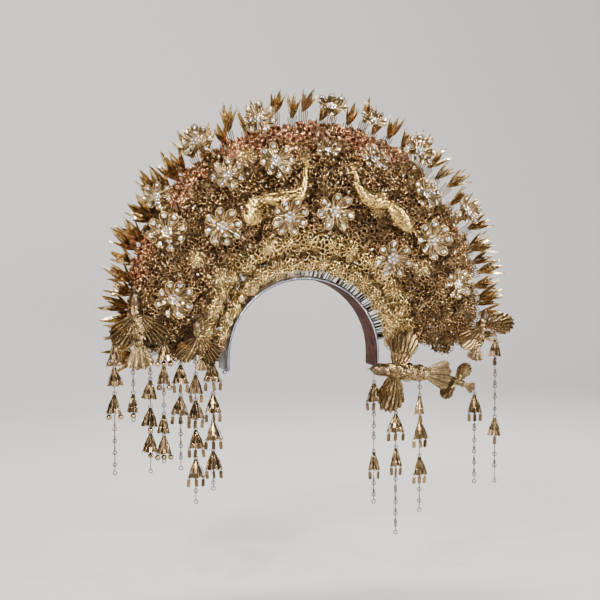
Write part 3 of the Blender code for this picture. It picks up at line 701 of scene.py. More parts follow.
def arc_wire(radius, y, wire, reach_angle=90, leg=0.0):
    """Round wire that follows the band, with straight ends down its legs if a leg is given."""
    shares = [2 * step / BAND_FACETS - 1 for step in range(BAND_FACETS + 1)]
    points = [arch_point(reach_angle * share, radius, y) for share in shares]
    if leg:
        points = [points[0] - Vector((0, 0, leg))] + points + [points[-1] - Vector((0, 0, leg))]
    return tube([(point, wire, 1.0) for point in points], 8)


def build_band():
    piece("band_strip", [(bent_strip(*BAND), Matrix())], DARK_STEEL, "polished_steel", "head_band")
    copies = [(arc_wire(EDGE_RADIUS, y, EDGE_WIRE, leg=EDGE_LEG), Matrix()) for y in (-EDGE_Y, EDGE_Y)]
    knob = ball(KNOB_RADIUS, 2)
    for side in (-1, 1):
        middle = arch_point(90 * side, KNOB_FROM_BAND, KNOB_Y) - Vector((0, 0, KNOB_DROP))
        held = arch_point(90 * side, KNOB_HOLD_RADIUS, KNOB_Y) - Vector((0, 0, KNOB_HOLD_DROP))
        copies += [(knob, moved(middle)), rod(middle, held, ROW_WIRE)]
    piece("band_rims", copies, STEEL, "polished_steel")
    cloth = bent_strip(*LINING, LINING_WAVE)
    piece("band_cloth", [(cloth, Matrix())], CLOTH, "brown_lining", "band_lining")


# rows of small flowers
# backing leaves behind each flower, coloured near black as painted shade: depth below it and turn from it
GOLD_BACKS = ((0.005, 20), (0.010, 75))
BRONZE_BACKS = ((0.005, 40), (0.010, 95))
COPPER_BACK_DEPTH = 0.007
BEADS_ON_SPRIG = 4
ACCENT_HEIGHT, ACCENT_STEM = 0.012, 0.016
DROP_HEIGHT, DROP_STEM = 0.007, 0.012


def ring_rosette(seed):
    """Gold rosette one unit across: a ball in a ring, with two domed tiers of wire rings round it."""
    local = random.Random(seed)
    large, small = ring(radius=0.106, wire=0.026, steps=10), ring(radius=0.082, wire=0.025, steps=9)
    copies = [(small, moved((0, 0, 0.19))), (ball(0.060), moved((0, 0, 0.21)))]
    for shape_here, count, out, rise, lean in ((small, 6, 0.195, 0.13, 14), (large, 10, 0.385, 0.0, 32)):
        for step in range(count):
            turn = turned(360 * (step + local.uniform(-0.12, 0.12)) / count, "Z")
            tilt = turned(lean + local.uniform(-14, 14), "Y")
            raised = moved((out, 0, rise + local.uniform(-0.03, 0.03)))
            copies.append((shape_here, turn @ raised @ tilt))
    return gather("ring_rosette", copies)


def loop_rosette(seed):
    """Gold rosette one unit across: nine long wire loops round a raised knot of small rings."""
    local = random.Random(seed)
    loop = petal_loop(length=0.35, width=0.215, wire=0.027, base=0.15, cup=-0.05, steps=12)
    small = ring(radius=0.072, wire=0.024)
    copies = [(ball(0.058), moved((0, 0, 0.17)))]
    for step in range(6):
        turn = turned(60 * step + local.uniform(-6, 6), "Z")
        copies.append((small, turn @ moved((0.128, 0, 0.12)) @ turned(18, "Y")))
    for step in range(9):
        turn = turned(40 * step + local.uniform(-3, 3), "Z")
        copies.append((loop, turn @ turned(local.uniform(-6, 10), "Y")))
    return gather("loop_rosette", copies)


def sprig_places(local, out, stray, low, high, lean):
    """Places of a sprig's seven flowers, one in the middle and six round it, each a little astray."""
    for away, turn in [(0, 0)] + [(out, step * 60 + local.uniform(-stray, stray)) for step in range(6)]:
        heading = math.radians(turn)
        middle = Vector((away * math.cos(heading), away * math.sin(heading), local.uniform(low, high)))
        upward = Vector((local.uniform(-lean, lean), local.uniform(-lean, lean), 1)).normalized()
        yield facing(middle, upward, local.uniform(0, 360))


def curled_sprig(seed):
    """Bronze sprig one unit across: seven little loop flowers."""
    local = random.Random(seed)
    small = ring(radius=0.072, wire=0.021, sides=3)
    tiny = ball(0.046)
    copies = []
    for flower in sprig_places(local, out=0.315, stray=9, low=-0.06, high=0.10, lean=0.5):
        copies.append((tiny, flower @ moved((0, 0, 0.04))))
        for step in range(6):
            ray = turned(60 * step, "Z")
            curl = turned(local.uniform(-38, 38), "Y")
            twist = turned(local.uniform(-28, 28), "X")
            away = moved((0.112, 0, local.uniform(-0.02, 0.03)))
            copies.append((small, flower @ ray @ away @ curl @ twist))
    return gather("curled_sprig", copies)


def leaf_sprig(seed):
    """Backing sprig one unit across: stamped sheet flowers at all angles."""
    local = random.Random(seed)
    flower = sheet_flower(petals=6, dome=0.10)
    places = sprig_places(local, out=0.30, stray=12, low=-0.10, high=0.10, lean=0.6)
    return gather("leaf_sprig", [(flower, place @ sized(local.uniform(0.40, 0.52))) for place in places])


def cupped_petal(radius, depth, sides=8):
    """Round petal of thick sheet, dished in the middle, with painted shade in the dish."""
    bm = bmesh.new()
    painted_hollow_shade = bm.verts.layers.float.new("painted_hollow_shade")
    made = bmesh.ops.create_circle(bm, cap_ends=True, cap_tris=True, segments=sides, radius=radius)["verts"]
    for vert in made:
        if vert.co.length < radius / 2:
            vert.co.z = -depth
            # painted shade: the dished middle is darkened
            vert[painted_hollow_shade] = 0.9
    bmesh.ops.solidify(bm, geom=bm.faces[:], thickness=radius * 0.24)
    return shape(bm)


def copper_blossom(seed):
    """Small copper flower one unit across: thick cupped petals and loops round a ball."""
    local = random.Random(seed)
    petal = cupped_petal(radius=0.205, depth=0.07)
    loop = ring(radius=0.115, wire=0.040, steps=7, sides=3)
    copies = [(ball(0.125), moved((0, 0, 0.13)))]
    petals = 6
    for step in range(petals):
        turn = turned(360 * step / petals, "Z")
        tilt = turned(local.uniform(-42, -8), "Y")
        copies.append((petal, turn @ moved((0.30, 0, local.uniform(0.0, 0.07))) @ tilt))
        if step % 2:
            copies.append((loop, turn @ moved((0.26, 0, 0.10)) @ tilt))
    return gather("copper_blossom", copies)


def row_wires(row, bend=0.012):
    """Bent wires from a row's strip to the backs of its heads."""
    place = ROWS[row][0]
    copies = []
    for middle, normal, _, _, angle in heads_of(row):
        root = root_on_strip(angle, place)
        elbow = middle - normal * bend + (root - middle).normalized() * bend * 0.4
        copies += [rod(root, elbow, ROW_WIRE), bead_at(elbow, ROW_ELBOW)]
        copies.append(rod(elbow, middle - normal * 0.0004, ROW_WIRE))
    return copies


def row_strip(row):
    """Three wires bound side by side round the band, which hold the roots of a row."""
    place = ROWS[row][0] if row in ROWS else RIM_STRIP
    y = (place - MIDDLE_STRIP) * STRIP_PITCH
    across = (y - STRIP_WIRE_GAP, y, y + STRIP_WIRE_GAP)
    return [(arc_wire(STRIP_RADIUS, spot, STRIP_WIRE, STRIP_REACH), Matrix()) for spot in across]


def between_heads(row, share_step, depth, size_share):
    """Places of extra flowers behind a row, between its heads and the next row's."""
    share = ROWS[row][1]
    heads = heads_of(row)
    places = []
    for first, second in zip(heads, heads[1:]):
        angle = (first[4] + second[4]) / 2 + rng.uniform(-0.6, 0.6)
        normal = field_normal(angle, share)
        place = field_point(angle, share + share_step) - normal * (depth + rng.uniform(-0.001, 0.001))
        places.append((place, normal, rng.uniform(0, 360), first[3] * size_share))
    return places


def row_nodes(row):
    return row + "_left", row + "_right"


def backs_behind(backs, step, middle, normal, spin, size, layers):
    """Backing leaves at some depths behind a flower, each turned from it."""
    return [(backs[step % len(backs)], facing(middle - normal * depth, normal, spin + turn, size * 1.05))
            for depth, turn in layers]


def build_gold_rows():
    """Gilt rosettes of the two inner rows; the lowest ones at both ends are darker, in the bronze finish."""
    rosettes = [ring_rosette(11), loop_rosette(12), ring_rosette(13)]
    backs = [leaf_sprig(seed) for seed in (14, 15)]
    low_rosettes, backing, pins, strips = [], [], [], []
    for row, share_step, scale in (("gold_row_1", 0.070, 1.14), ("gold_row_2", 0.075, 1.12)):
        copies = []
        places = [(*head[:3], head[3] * scale, 0.0) for head in heads_of(row)]
        extras = between_heads(row, share_step, depth=0.003, size_share=scale * 0.94)
        places += [(*extra, 0.004) for extra in extras]
        for step, (middle, normal, spin, size, sunk) in enumerate(places):
            # rosettes lower than a set height take the darker bronze finish
            here = low_rosettes if middle.z < LOW_ROSETTE_Z + rng.uniform(-0.003, 0.003) else copies
            across = size * rng.uniform(0.92, 1.08)
            here.append((rosettes[step % 3], facing(middle - normal * sunk, normal, spin, across)))
            backing += backs_behind(backs, step, middle, normal, spin, size, GOLD_BACKS)
        pins += row_wires(row, bend=0.006)
        strips += row_strip(row)
        piece(row + "_rosettes", copies, GOLD, "bright_gilt", *row_nodes(row))
    piece("low_bronze_rosettes", low_rosettes, BRONZE, "bright_gilt")
    # backing layer in near black, as painted shade behind the rosettes
    piece("gold_backing", backing, SHADE_GOLD, "bright_gilt")
    piece("gold_pins", pins, PIN_STEEL, "polished_steel")
    piece("gold_strips", strips, DARK_WIRE, "polished_steel")


def build_bronze_rows():
    sprigs = [curled_sprig(seed) for seed in (1, 2, 3)]
    backs = [leaf_sprig(seed) for seed in (4, 5, 6)]
    beads = []
    for row in ("bronze_row_1", "bronze_row_2", "bronze_row_3"):
        copies, backing = [], []
        places = [(*head[:3], head[3] * 1.12) for head in heads_of(row)]
        places += between_heads(row, share_step=0.080, depth=0.004, size_share=1.06)
        for step, (middle, normal, spin, size) in enumerate(places):
            head = facing(middle, normal, spin, size)
            copies.append((sprigs[step % 3], head))
            # pale beads at random spots, partly bead centres and partly painted glints
            for _ in range(BEADS_ON_SPRIG):
                spot = (rng.uniform(-0.45, 0.45), rng.uniform(-0.45, 0.45), rng.uniform(0.10, 0.20))
                beads.append((BEAD, head @ moved(spot) @ sized(rng.uniform(0.035, 0.055))))
            backing += backs_behind(backs, step, middle, normal, spin, size, BRONZE_BACKS)
        piece(row + "_sprigs", copies, BRONZE, "aged_bronze", *row_nodes(row))
        # back layer in near black, as painted shade between the sprigs
        piece(row + "_backing", backing, SHADE_SHEET, "aged_bronze")
        piece(row + "_wires", row_wires(row) + row_strip(row), DARK_WIRE, "aged_bronze")
    piece("pale_beads", beads, PALE_GLINT_BEAD, "aged_bronze")


def build_accents():
    """Single gold ring flowers on wires over the bronze bed, round drops and a few bare stems."""
    rosette = loop_rosette(21)
    copies = []
    for angle, share, size in ACCENTS:
        middle, normal = above_field(angle, share, ACCENT_HEIGHT)
        copies.append((rosette, facing(middle, normal, angle * 7, size)))
        copies.append(rod(middle - normal * ACCENT_STEM, middle, ROW_WIRE))
    drop = ball(1.0, 2)
    for angle, share, radius in DROPS:
        middle, normal = above_field(angle, share, DROP_HEIGHT)
        oval = Matrix.Diagonal((radius, radius * 1.15, radius * 0.55, 1))
        copies.append((drop, facing(middle, normal) @ oval))
        copies.append(rod(middle - normal * DROP_STEM, middle, ROW_WIRE))
    piece("accent_rosettes", copies, GOLD, "bright_gilt")
    stems = [rod(Vector(start), Vector(end), wire) for start, end, wire in BARE_STEMS]
    stems += [bead_at(end, wire * 1.6) for _, end, wire in BARE_STEMS]
    piece("bare_stems", stems, DARK_WIRE, "aged_bronze")


def blossom_bunch(blossoms, middle, normal, spin, size):
    """Six small blossoms in a loose domed bunch."""
    bunch = facing(middle, normal, spin, size)
    copies = [(blossoms[0], bunch @ moved((0, 0, 0.12)) @ sized(0.62))]
    for step in range(5):
        turn = turned(72 * step, "Z")
        tilt = turned(rng.uniform(0, 40), "Y")
        away = turn @ moved((0.40, 0, rng.uniform(-0.06, 0.10))) @ tilt
        copies.append((blossoms[step % 2], bunch @ away @ sized(rng.uniform(0.50, 0.66))))
    return copies


def build_copper_row():
    blossoms = [copper_blossom(seed) for seed in (7, 8)]
    copper, bronze, backing = [], [], []
    back = leaf_sprig(9)
    places = heads_of("copper_row")
    angles = [(a[4] + b[4]) / 2 for a, b in zip(places, places[1:])]
    extras = between_heads("copper_row", share_step=-0.035, depth=0.001, size_share=1.0)
    places += [(*extra, angle) for extra, angle in zip(extras, angles)]
    for middle, normal, spin, size, angle in places:
        coppery = any(low < angle < high for low, high in COPPER_ANGLES)
        middle = middle - outward_at(angle) * (OPEN_SET_IN if angle > OPEN_SIDE else COPPER_SET_IN)
        size *= OPEN_BLOSSOM_SIZE if angle > OPEN_SIDE else 0.94
        (copper if coppery else bronze).extend(blossom_bunch(blossoms, middle, normal, spin, size))
        backing.append((back, facing(middle - normal * COPPER_BACK_DEPTH, normal, spin, size * 1.2)))
    piece("copper_blossoms", copper, COPPER, "copper_gilt", *row_nodes("copper_row"))
    piece("outer_bronze_blossoms", bronze, BRONZE, "aged_bronze")
    # back layer in near black, as painted shade behind the blossoms
    piece("copper_backing", backing, SHADE_SHEET, "aged_bronze")
    piece("copper_wires", row_wires("copper_row") + row_strip("copper_row"), DARK_WIRE, "aged_bronze")


# rim of pointed blossoms
def rim_stands():
    """Base, axis, size and angle of each blossom of the rim, and of smaller ones between them."""
    stands = []
    rows = list(BLOSSOMS)
    rows += [((a[0] + b[0]) / 2 + rng.uniform(-1, 1), min(a[1], b[1]) - 0.025, a[2] * 0.92)
             for a, b in zip(BLOSSOMS, BLOSSOMS[1:])]
    for order, (angle, share, size) in enumerate(rows):
        radius = FIELD_INNER + share * (reach(angle) - FIELD_INNER)
        tip = arch_point(angle, radius, RIM_TIP_Y if order < len(BLOSSOMS) else RIM_TIP_Y + 0.006)
        outward = outward_at(angle)
        lean = BLOSSOM_LEAN - math.radians(rng.uniform(4, 14))
        axis = outward * math.cos(lean) + FRONT * math.sin(lean)
        sideways = outward.cross(FRONT) * rng.uniform(-0.16, 0.16)
        axis = (axis + sideways).normalized()
        size *= 1 if angle < LONG_SIDE else (TOP_PETAL_SIZE if angle < OPEN_SIDE else OPEN_PETAL_SIZE)
        stands.append((tip - axis * RIM_STAND_LENGTH * size, axis, size, angle))
    return stands


def build_rim():
    long_petal = blade(RIM_PETAL_LENGTH, width=0.0082, fold=0.0024, ridges=0.00009, lift=0.0006, rows=12)
    short_petal = blade(RIM_PETAL_LENGTH * 0.86, width=0.0066, fold=0.0020, ridges=0.00008, lift=-0.0004,
                        rows=10)
    petals, wires = [], row_strip("spike_row")
    for base, axis, size, angle in rim_stands():
        stand = facing(base, axis, 45 + rng.uniform(-20, 20), size)
        shortest, longest = (0.92, 1.18) if angle < LONG_SIDE else (0.88, 1.03)
        for count, shape_here, lean, turn in ((5, long_petal, 18, 0), (2, short_petal, 5, 40)):
            for step in range(count):
                around = turned(360 / count * step + turn + rng.uniform(-14, 14), "Z")
                out = moved((0, 0.0012, 0)) @ turned(90 - lean + rng.uniform(-5, 5), "X")
                petals.append((shape_here, stand @ around @ out @ sized(rng.uniform(shortest, longest))))
        petals.append(bead_at(base, 0.0017))
        root = root_on_strip(angle, RIM_STRIP)
        tie = root.lerp(base, 0.55)
        wires += [rod(root, tie, RIM_STEM_WIRE), bead_at(tie, RIM_TIE)]
        for aside in RIM_FAN_SPREAD:
            held = base + axis.cross(FRONT).normalized() * aside + axis * (0.004 - 0.5 * abs(aside))
            wires.append(rod(tie + (held - base) * 0.2, held, RIM_FAN_WIRE))
    piece("rim_blossoms", petals, RIM_GOLD, "rim_gilt", *row_nodes("spike_row"))
    piece("rim_wires", wires, DARK_WIRE, "aged_bronze")


# crystal flowers
FLOWER_ACROSS = 0.0430
SPRING_TURN = ring(radius=0.0014, wire=0.00035)
SPRING_START, SPRING_STEP, SPRING_TURNS = 0.002, 0.0011, 6
STREAK = Vector((0.0042, 0, 0.0006)), Vector((0.0132, 0, 0.0030))
STREAK_WIRE = 0.0003
TIP_STONE = (0.0158, 0, 0.0032)
PETAL_STONE = (0.0098, 0, 0.0020)
HEART_STONE = (0, 0, 0.0036)
HEART_RING_STONE = (0.0041, 0, 0.0026)
HEART_PLATE = (0.0050, 0.0050, 0.0016, 1)
LEANING = 1


def spring_stem(foot, middle):
    """Stem with a coiled spring at its foot."""
    way = (middle - foot).normalized()
    copies = [rod(foot, middle, STEM_WIRE)]
    for step in range(SPRING_TURNS):
        copies.append((SPRING_TURN, facing(foot + way * (SPRING_START + SPRING_STEP * step), way)))
    return copies


def crystal_petal(petal, step, leans, shapes, wires, sheets, gems):
    """Wire loops, thin sheet and set stones of one petal."""
    outer, inner, sheet, large_stone, small_stone = shapes
    wires += [(outer, petal), (inner, petal), rod(*(petal @ point for point in STREAK), STREAK_WIRE)]
    sheets.append((sheet, petal @ moved((0.0035, 0, -0.0006)) @ turned(-90, "Z")))
    seats = [(small_stone if leans > LEANING else large_stone, moved(TIP_STONE))]
    if step % 3 == 1 and leans < LEANING:
        seats.append((small_stone, moved(PETAL_STONE)))
    for (gem, bezel), seat in seats:
        tipped = turned(rng.uniform(-14, 14), "X")
        gems.append((gem, petal @ seat @ tipped @ Matrix.Rotation(rng.uniform(0, 0.8), 4, "Z")))
        wires.append((bezel, petal @ seat))


def crystal_heart(head, large_stone, small_stone, wires, gems):
    """Stones in the middle of a flower: six in a ring and one raised."""
    for step in range(7):
        (gem, bezel), place = (small_stone, HEART_RING_STONE) if step < 6 else (large_stone, HEART_STONE)
        seat = head @ turned(60 * step, "Z") @ moved(place)
        gems.append((gem, seat))
        wires.append((bezel, seat))


def build_crystals():
    outer = petal_loop(length=0.0156, width=0.0122, wire=0.00060, base=0.0038, cup=0.0034)
    inner = petal_loop(length=0.0112, width=0.0070, wire=0.00032, base=0.0042, cup=0.0024, steps=12)
    sheet = blade(length=0.0152, width=0.0104, fold=0.0009, lift=0.0030, thickness=0.0002, rows=6,
                  widest=0.62)
    large_stone = cut_stone(0.0023), ring(radius=0.0023, wire=0.00042, steps=10)
    small_stone = cut_stone(0.0019), ring(radius=0.0019, wire=0.00035)
    shapes = outer, inner, sheet, large_stone, small_stone
    wires, sheets, gems = [], [], []
    free = [(head[0] + head[1] * 0.001, head[1]) for row in ROWS for head in heads_of(row)]
    for order, (angle, share, height, diameter, lean) in enumerate(CRYSTALS):
        middle, normal = above_field(angle, share, height)
        axis = (normal + FRONT + outward_at(angle) * lean * 1.5).normalized()
        foot = min(free, key=lambda place: (place[0] - middle).length)
        free.remove(foot)
        wires += spring_stem(foot[0], middle)
        head = facing(middle, axis, (order + 1) * GOLDEN_ANGLE, diameter / FLOWER_ACROSS)
        count = 8 if order % 3 else 7
        for step in range(count):
            turn = turned(360 * step / count + rng.uniform(-5, 5), "Z")
            tilt = turned(rng.uniform(-16, 4) - 6 * (step % 2), "Y")
            crystal_petal(head @ turn @ tilt, step, lean, shapes, wires, sheets, gems)
        crystal_heart(head, large_stone, small_stone, wires, gems)
        sheets.append((BEAD, head @ Matrix.Diagonal(HEART_PLATE)))
    names = ["crystal_flower_%02d" % (order + 1) for order in range(len(CRYSTALS))]
    piece("crystal_wires", wires, FLOWER_WIRE, "crystal_bronze", *names)
    piece("crystal_petals", sheets, FLOWER_SHEET, "crystal_bronze")
    piece("crystal_stones", gems, STONE, "crystal_bronze")


# peacocks
def front_frame(place, way, size=1.0):
    """Matrix with local Y along a way and local Z to the front."""
    along = Vector((way.x, 0, way.z)).normalized()
    across = along.cross(FRONT).normalized()
    return moved(place) @ Matrix((across, along, FRONT)).transposed().to_4x4() @ sized(size)


PEACOCK_Y = -0.080
# root, chest, head and tail tip as x and z, and half the tail's width
PEACOCKS = {
    "peacock_left": ((-0.061, 0.087), (-0.024, 0.089), (-0.0153, 0.1206), (-0.076, 0.062), 0.0115),
    "peacock_right": ((0.0745, 0.0815), (0.0486, 0.0889), (0.0368, 0.1136), (0.0965, 0.0534), 0.0085),
}
TAIL_BEADS, TAIL_BEAD = 26, 0.0011
FEATHER_ROWS = (5, 4, 3)
CREST_WIRE, CREST_LENGTH, CREST_BEAD = 0.0004, 0.0072, 0.0009
EYE = 0.0008
TOE_WIRE = 0.0006


def peacock_body(root, chest, head, way):
    """Round body, neck, head and beak in one run of stations."""
    back = root.lerp(chest, 0.5) - Vector((0, 0, 0.002))
    neck = chest.lerp(head, 0.5) + way * 0.003
    rows = (
        (root, 0.0038, 0.8), (root.lerp(back, 0.5), 0.0064, 0.8), (back, 0.0082, 0.8),
        (chest, 0.0082, 0.8), (neck, 0.0042, 0.9),
        (head - way * 0.001 - Vector((0, 0, 0.003)), 0.0028, 1), (head + way * 0.0018, 0.0040, 0.9),
        (head + way * 0.0055 - Vector((0, 0, 0.0006)), 0.0014, 0.9),
        (head + way * 0.010 - Vector((0, 0, 0.0022)), 0.0004, 1),
    )
    return [(tube(smooth_way(rows, 34), 14), Matrix())], back


def peacock_tail(root, tail_tip, tail_width):
    """Flat oval tail with beads round its edge."""
    half_length = (tail_tip - root).length * 0.54
    tail = front_frame(root.lerp(tail_tip, 0.5) + FRONT * 0.0008, tail_tip - root)
    copies = [(ball(1.0, 3), tail @ Matrix.Diagonal((tail_width, half_length, 0.0026, 1)))]
    for step in range(TAIL_BEADS):
        around = 2 * math.pi * step / TAIL_BEADS
        edge = moved((tail_width * math.cos(around), half_length * math.sin(around), 0))
        copies.append((BEAD, tail @ edge @ sized(TAIL_BEAD)))
    return copies


def peacock_wing(root, chest, back):
    """Three layers of feathers, the upper ones shorter."""
    feather = blade(length=0.0150, width=0.0046, fold=0.0008, ridges=0.00015, lift=0.0006, rows=6, widest=0.6)
    wing = front_frame(back.lerp(chest, 0.6) + FRONT * 0.0046, root - back)
    copies = []
    for layer, count in enumerate(FEATHER_ROWS):
        for step in range(count):
            fan = turned((step - (count - 1) / 2) * 13, "Z")
            lifted = moved((0, -0.002 * layer, 0.0007 * layer))
            copies.append((feather, wing @ lifted @ fan @ sized(1.15 - 0.22 * layer)))
    return copies


def peacock_crest(head, way):
    """Five wires with beads on the head, and the eye."""
    crown = head + Vector((0, 0, 0.002))
    copies = []
    for step in range(5):
        lean = math.radians((step - 2) * 24)
        tip = crown + Vector((math.sin(lean), 0, math.cos(lean))) * CREST_LENGTH
        copies += [rod(crown, tip, CREST_WIRE), bead_at(tip, CREST_BEAD)]
    copies.append(bead_at(head + way * 0.0025 + FRONT * 0.0030 + Vector((0, 0, 0.0008)), EYE))
    return copies


def peacock_legs(root, chest, way, back_y):
    copies = []
    for share in (0.35, 0.85):
        top = root.lerp(chest, share)
        foot = Vector((top.x + 0.004 * way.x, min(back_y, -0.050), top.z - 0.012))
        copies.append(rod(top, foot, LEG_WIRE))
        for toe in (-1, 0, 1):
            copies.append((THORN, between(foot, foot + Vector((0.004 * toe, -0.001, -0.004)), TOE_WIRE)))
    return copies


def build_peacocks():
    for name, (*spots, tail_width) in PEACOCKS.items():
        root, chest, head, tail_tip = (Vector((x, PEACOCK_Y, z)) for x, z in spots)
        way = Vector((math.copysign(1, chest.x - root.x), 0, 0))
        copies, back = peacock_body(root, chest, head, way)
        copies += peacock_tail(root, tail_tip, tail_width)
        copies += peacock_wing(root, chest, back)
        copies += peacock_crest(head, way)
        copies += peacock_legs(root, chest, way, back_of(name))
        piece(name + "_body", copies, PEACOCK, "peacock_gilt", name)


# birds
# name, x, y, z, turn, size, directions of the two wings, tail length, wing length, breast length
BIRDS = (
    ("bird_outer_left", -0.1865, -0.0620, -0.0398, 4, 1.00, -134, 138, 1.0, 1.0, 1.2),
    ("bird_inner_left", -0.1226, -0.0620, -0.0600, 10, 0.74, -128, 156, 0.8, 1.15, 1.2),
    ("bird_inner_right", 0.0983, -0.0620, -0.0950, 84, 1.10, -82, 99, 1.0, 1.06, 1.4),
    ("bird_outer_right", 0.1794, -0.0680, -0.0560, -16, 0.72, -142, 66, 0.9, 1.25, 1.1),
    ("bird_small_right", 0.1600, -0.0520, -0.1085, 66, 0.48, -75, 110, 0.9, 1.3, 1.1),
)


# along the bird's length: place and radius, from the tail to the breast and from the neck to the beak
BREAST_STATIONS = ((-0.022, 0.0024), (-0.010, 0.0058), (0.004, 0.0086), (0.015, 0.0072), (0.023, 0.0060))
HEAD_STATIONS = ((0.019, 0.0056), (0.023, 0.0064), (0.028, 0.0060), (0.032, 0.0044), (0.0355, 0.0014))
SCALE_ROWS = 6
BIRD_EYE = 0.0012
BEAK_RADIUS = 0.0016


def bird_tube(stand, size, stations, flat, count, sides):
    """Round part of a bird through stations of (place along it, radius)."""
    rows = [(stand @ Vector((0, 0, along * size)), radius * size, flat) for along, radius in stations]
    return tube(smooth_way(rows, count), sides), Matrix()


def bird_scales(upright, size, breast_length):
    """Laid scales on the breast, in rows that sit between one another."""
    leaf = blade(length=0.0090, width=0.0066, fold=0.0012, lift=0.0010, thickness=0.0003, rows=4, widest=0.55)
    copies = []
    for row in range(SCALE_ROWS):
        for side in range(-2, 3):
            if (row + side) % 2:
                continue
            along, lean = 0.018 - 0.0058 * row, math.radians(30 * side)
            girth = 0.0095 - 0.20 * abs(along - 0.004)
            spot = (girth * math.sin(lean) * 0.9, along, girth * math.cos(lean) * 0.8)
            flat = Matrix.Rotation(lean * 0.7, 4, "Y") @ Matrix.Rotation(math.pi - lean * 0.3, 4, "Z")
            laid = upright @ moved(Vector(spot) * size) @ flat @ turned(8, "X")
            copies.append((leaf, laid @ sized(size * breast_length)))
    return copies


def bird_head(stand, size):
    copies = [bird_tube(stand, size, HEAD_STATIONS, 0.9, 14, 14)]
    for side in (-1, 1):
        eye = stand @ Vector((0.0036 * side * size, -0.0050 * size, 0.028 * size))
        copies.append(bead_at(eye, BIRD_EYE * size))
    beak, beak_tip = (stand @ Vector((0, y, z * size)) for y, z in ((-0.001, 0.033), (-0.003, 0.040)))
    copies.append((THORN, between(beak, beak_tip, BEAK_RADIUS * size)))
    return copies


def build_bird(name, x, y, z, turn, size, left, right, tail, wings, breast_length):
    """Stamped bird; gives back its dark head, which is a piece of another finish."""
    stand = moved((x, y, z)) @ turned(-turn, "Y")
    upright = stand @ turned(90, "X")
    copies = [bird_tube(stand, size, BREAST_STATIONS, 0.8, 22, 16)]
    wing = ribbed_fan(length=0.0385, spread=62, ribs=8, rib=0.0022, narrow=0.34, bead=0.00075, curl=0.0045)
    covert = ribbed_fan(length=0.0230, spread=76, ribs=6, rib=0.0018, narrow=0.30, bead=0.00075)
    tail_fan = ribbed_fan(length=0.0340, spread=56, ribs=4, rib=0.0003, narrow=0.06, curl=0.001)
    for angle, height, forward, fan, share in (
        (left, 0.010, 0.0016, wing, wings), (right, 0.010, 0.0024, wing, wings),
        (180, -0.012, -0.0002, tail_fan, tail),
        (left * 1.06, 0.012, 0.0040, covert, wings), (right * 1.06, 0.012, 0.0048, covert, wings),
    ):
        place = upright @ moved((0, height * size, forward))
        place = place @ turned(-angle, "Z") @ turned(6, "X")
        copies.append((fan, place @ sized(size * share)))
    copies += bird_scales(upright, size, breast_length)
    centre = stand @ Vector((0, 0, 0.004 * size))
    copies.append(rod(centre, Vector((centre.x, back_of(name), centre.z)), LEG_WIRE))
    piece(name + "_stamped", copies, BIRD, "bird_gilt", name)
    return bird_head(stand, size)


def build_birds():
    heads = []
    for row in BIRDS:
        heads += build_bird(*row)
    piece("bird_heads", heads, BIRD_HEAD, "bird_gilt")


# strands: for each cap the distance of its top below the strand's, its width and the number of its tabs
STRANDS = {
    "strand_left_1": ((0.004, 0.013, 2), (0.030, 0.016, 0), (0.058, 0.015, 2)),
    "strand_left_2": ((0.030, 0.011, 1),),
    "strand_left_3": ((0.016, 0.016, 0), (0.044, 0.017, 1), (0.070, 0.016, 1)),
    "strand_left_4": ((0.004, 0.016, 3), (0.028, 0.013, 2), (0.078, 0.013, 0), (0.099, 0.015, 3)),
    "strand_left_5": ((0.010, 0.016, 3), (0.042, 0.018, 3)),
    "strand_left_6": ((0.022, 0.015, 2), (0.048, 0.017, 3), (0.078, 0.016, 3), (0.108, 0.017, 3)),
    "strand_left_7": ((0.006, 0.018, 3), (0.038, 0.016, 3), (0.066, 0.017, 3), (0.096, 0.017, 3)),
    "strand_right_1": ((0.012, 0.018, 3), (0.084, 0.012, 2)),
    "strand_right_2": ((0.012, 0.018, 3), (0.048, 0.012, 3)),
    "strand_right_3": ((0.018, 0.010, 1), (0.044, 0.015, 3), (0.082, 0.014, 3)),
    "strand_right_4": ((0.008, 0.015, 3),),
    "strand_right_5": ((0.006, 0.013, 1), (0.090, 0.014, 1)),
}
# strands with round drops where the others have tabs
BALL_STRANDS = ("strand_left_1", "strand_left_2", "strand_left_3", "strand_left_4")
CAP_HEIGHT = 0.0175
CAP_RIBS = 9
CAP_RIB_WIRE, CAP_RIB_FOOT_WIRE, CAP_RIB_BEAD = 0.00040, 0.00046, 0.0007
CHAIN_WIRE, CHAIN_STEP, CHAIN_OVERLAP = 0.0005, 0.012, 0.0005
CHAIN_RINGS = (0.0045, 0.0082)


def cap_ribs(hung, width):
    """Wire ribs down the outside of a cap, each with a bead at its foot."""
    spots = ((0.0012, 0, 0), (width * 0.34, 0, -CAP_HEIGHT * 0.55), (width * 0.49, 0, -CAP_HEIGHT * 1.03))
    copies = []
    for step in range(CAP_RIBS):
        way = turned(360 * step / CAP_RIBS, "Z")
        top, middle, foot = (hung @ way @ Vector(spot) for spot in spots)
        copies += [rod(top, middle, CAP_RIB_WIRE), rod(middle, foot, CAP_RIB_FOOT_WIRE)]
        copies.append(bead_at(foot, CAP_RIB_BEAD))
    return copies


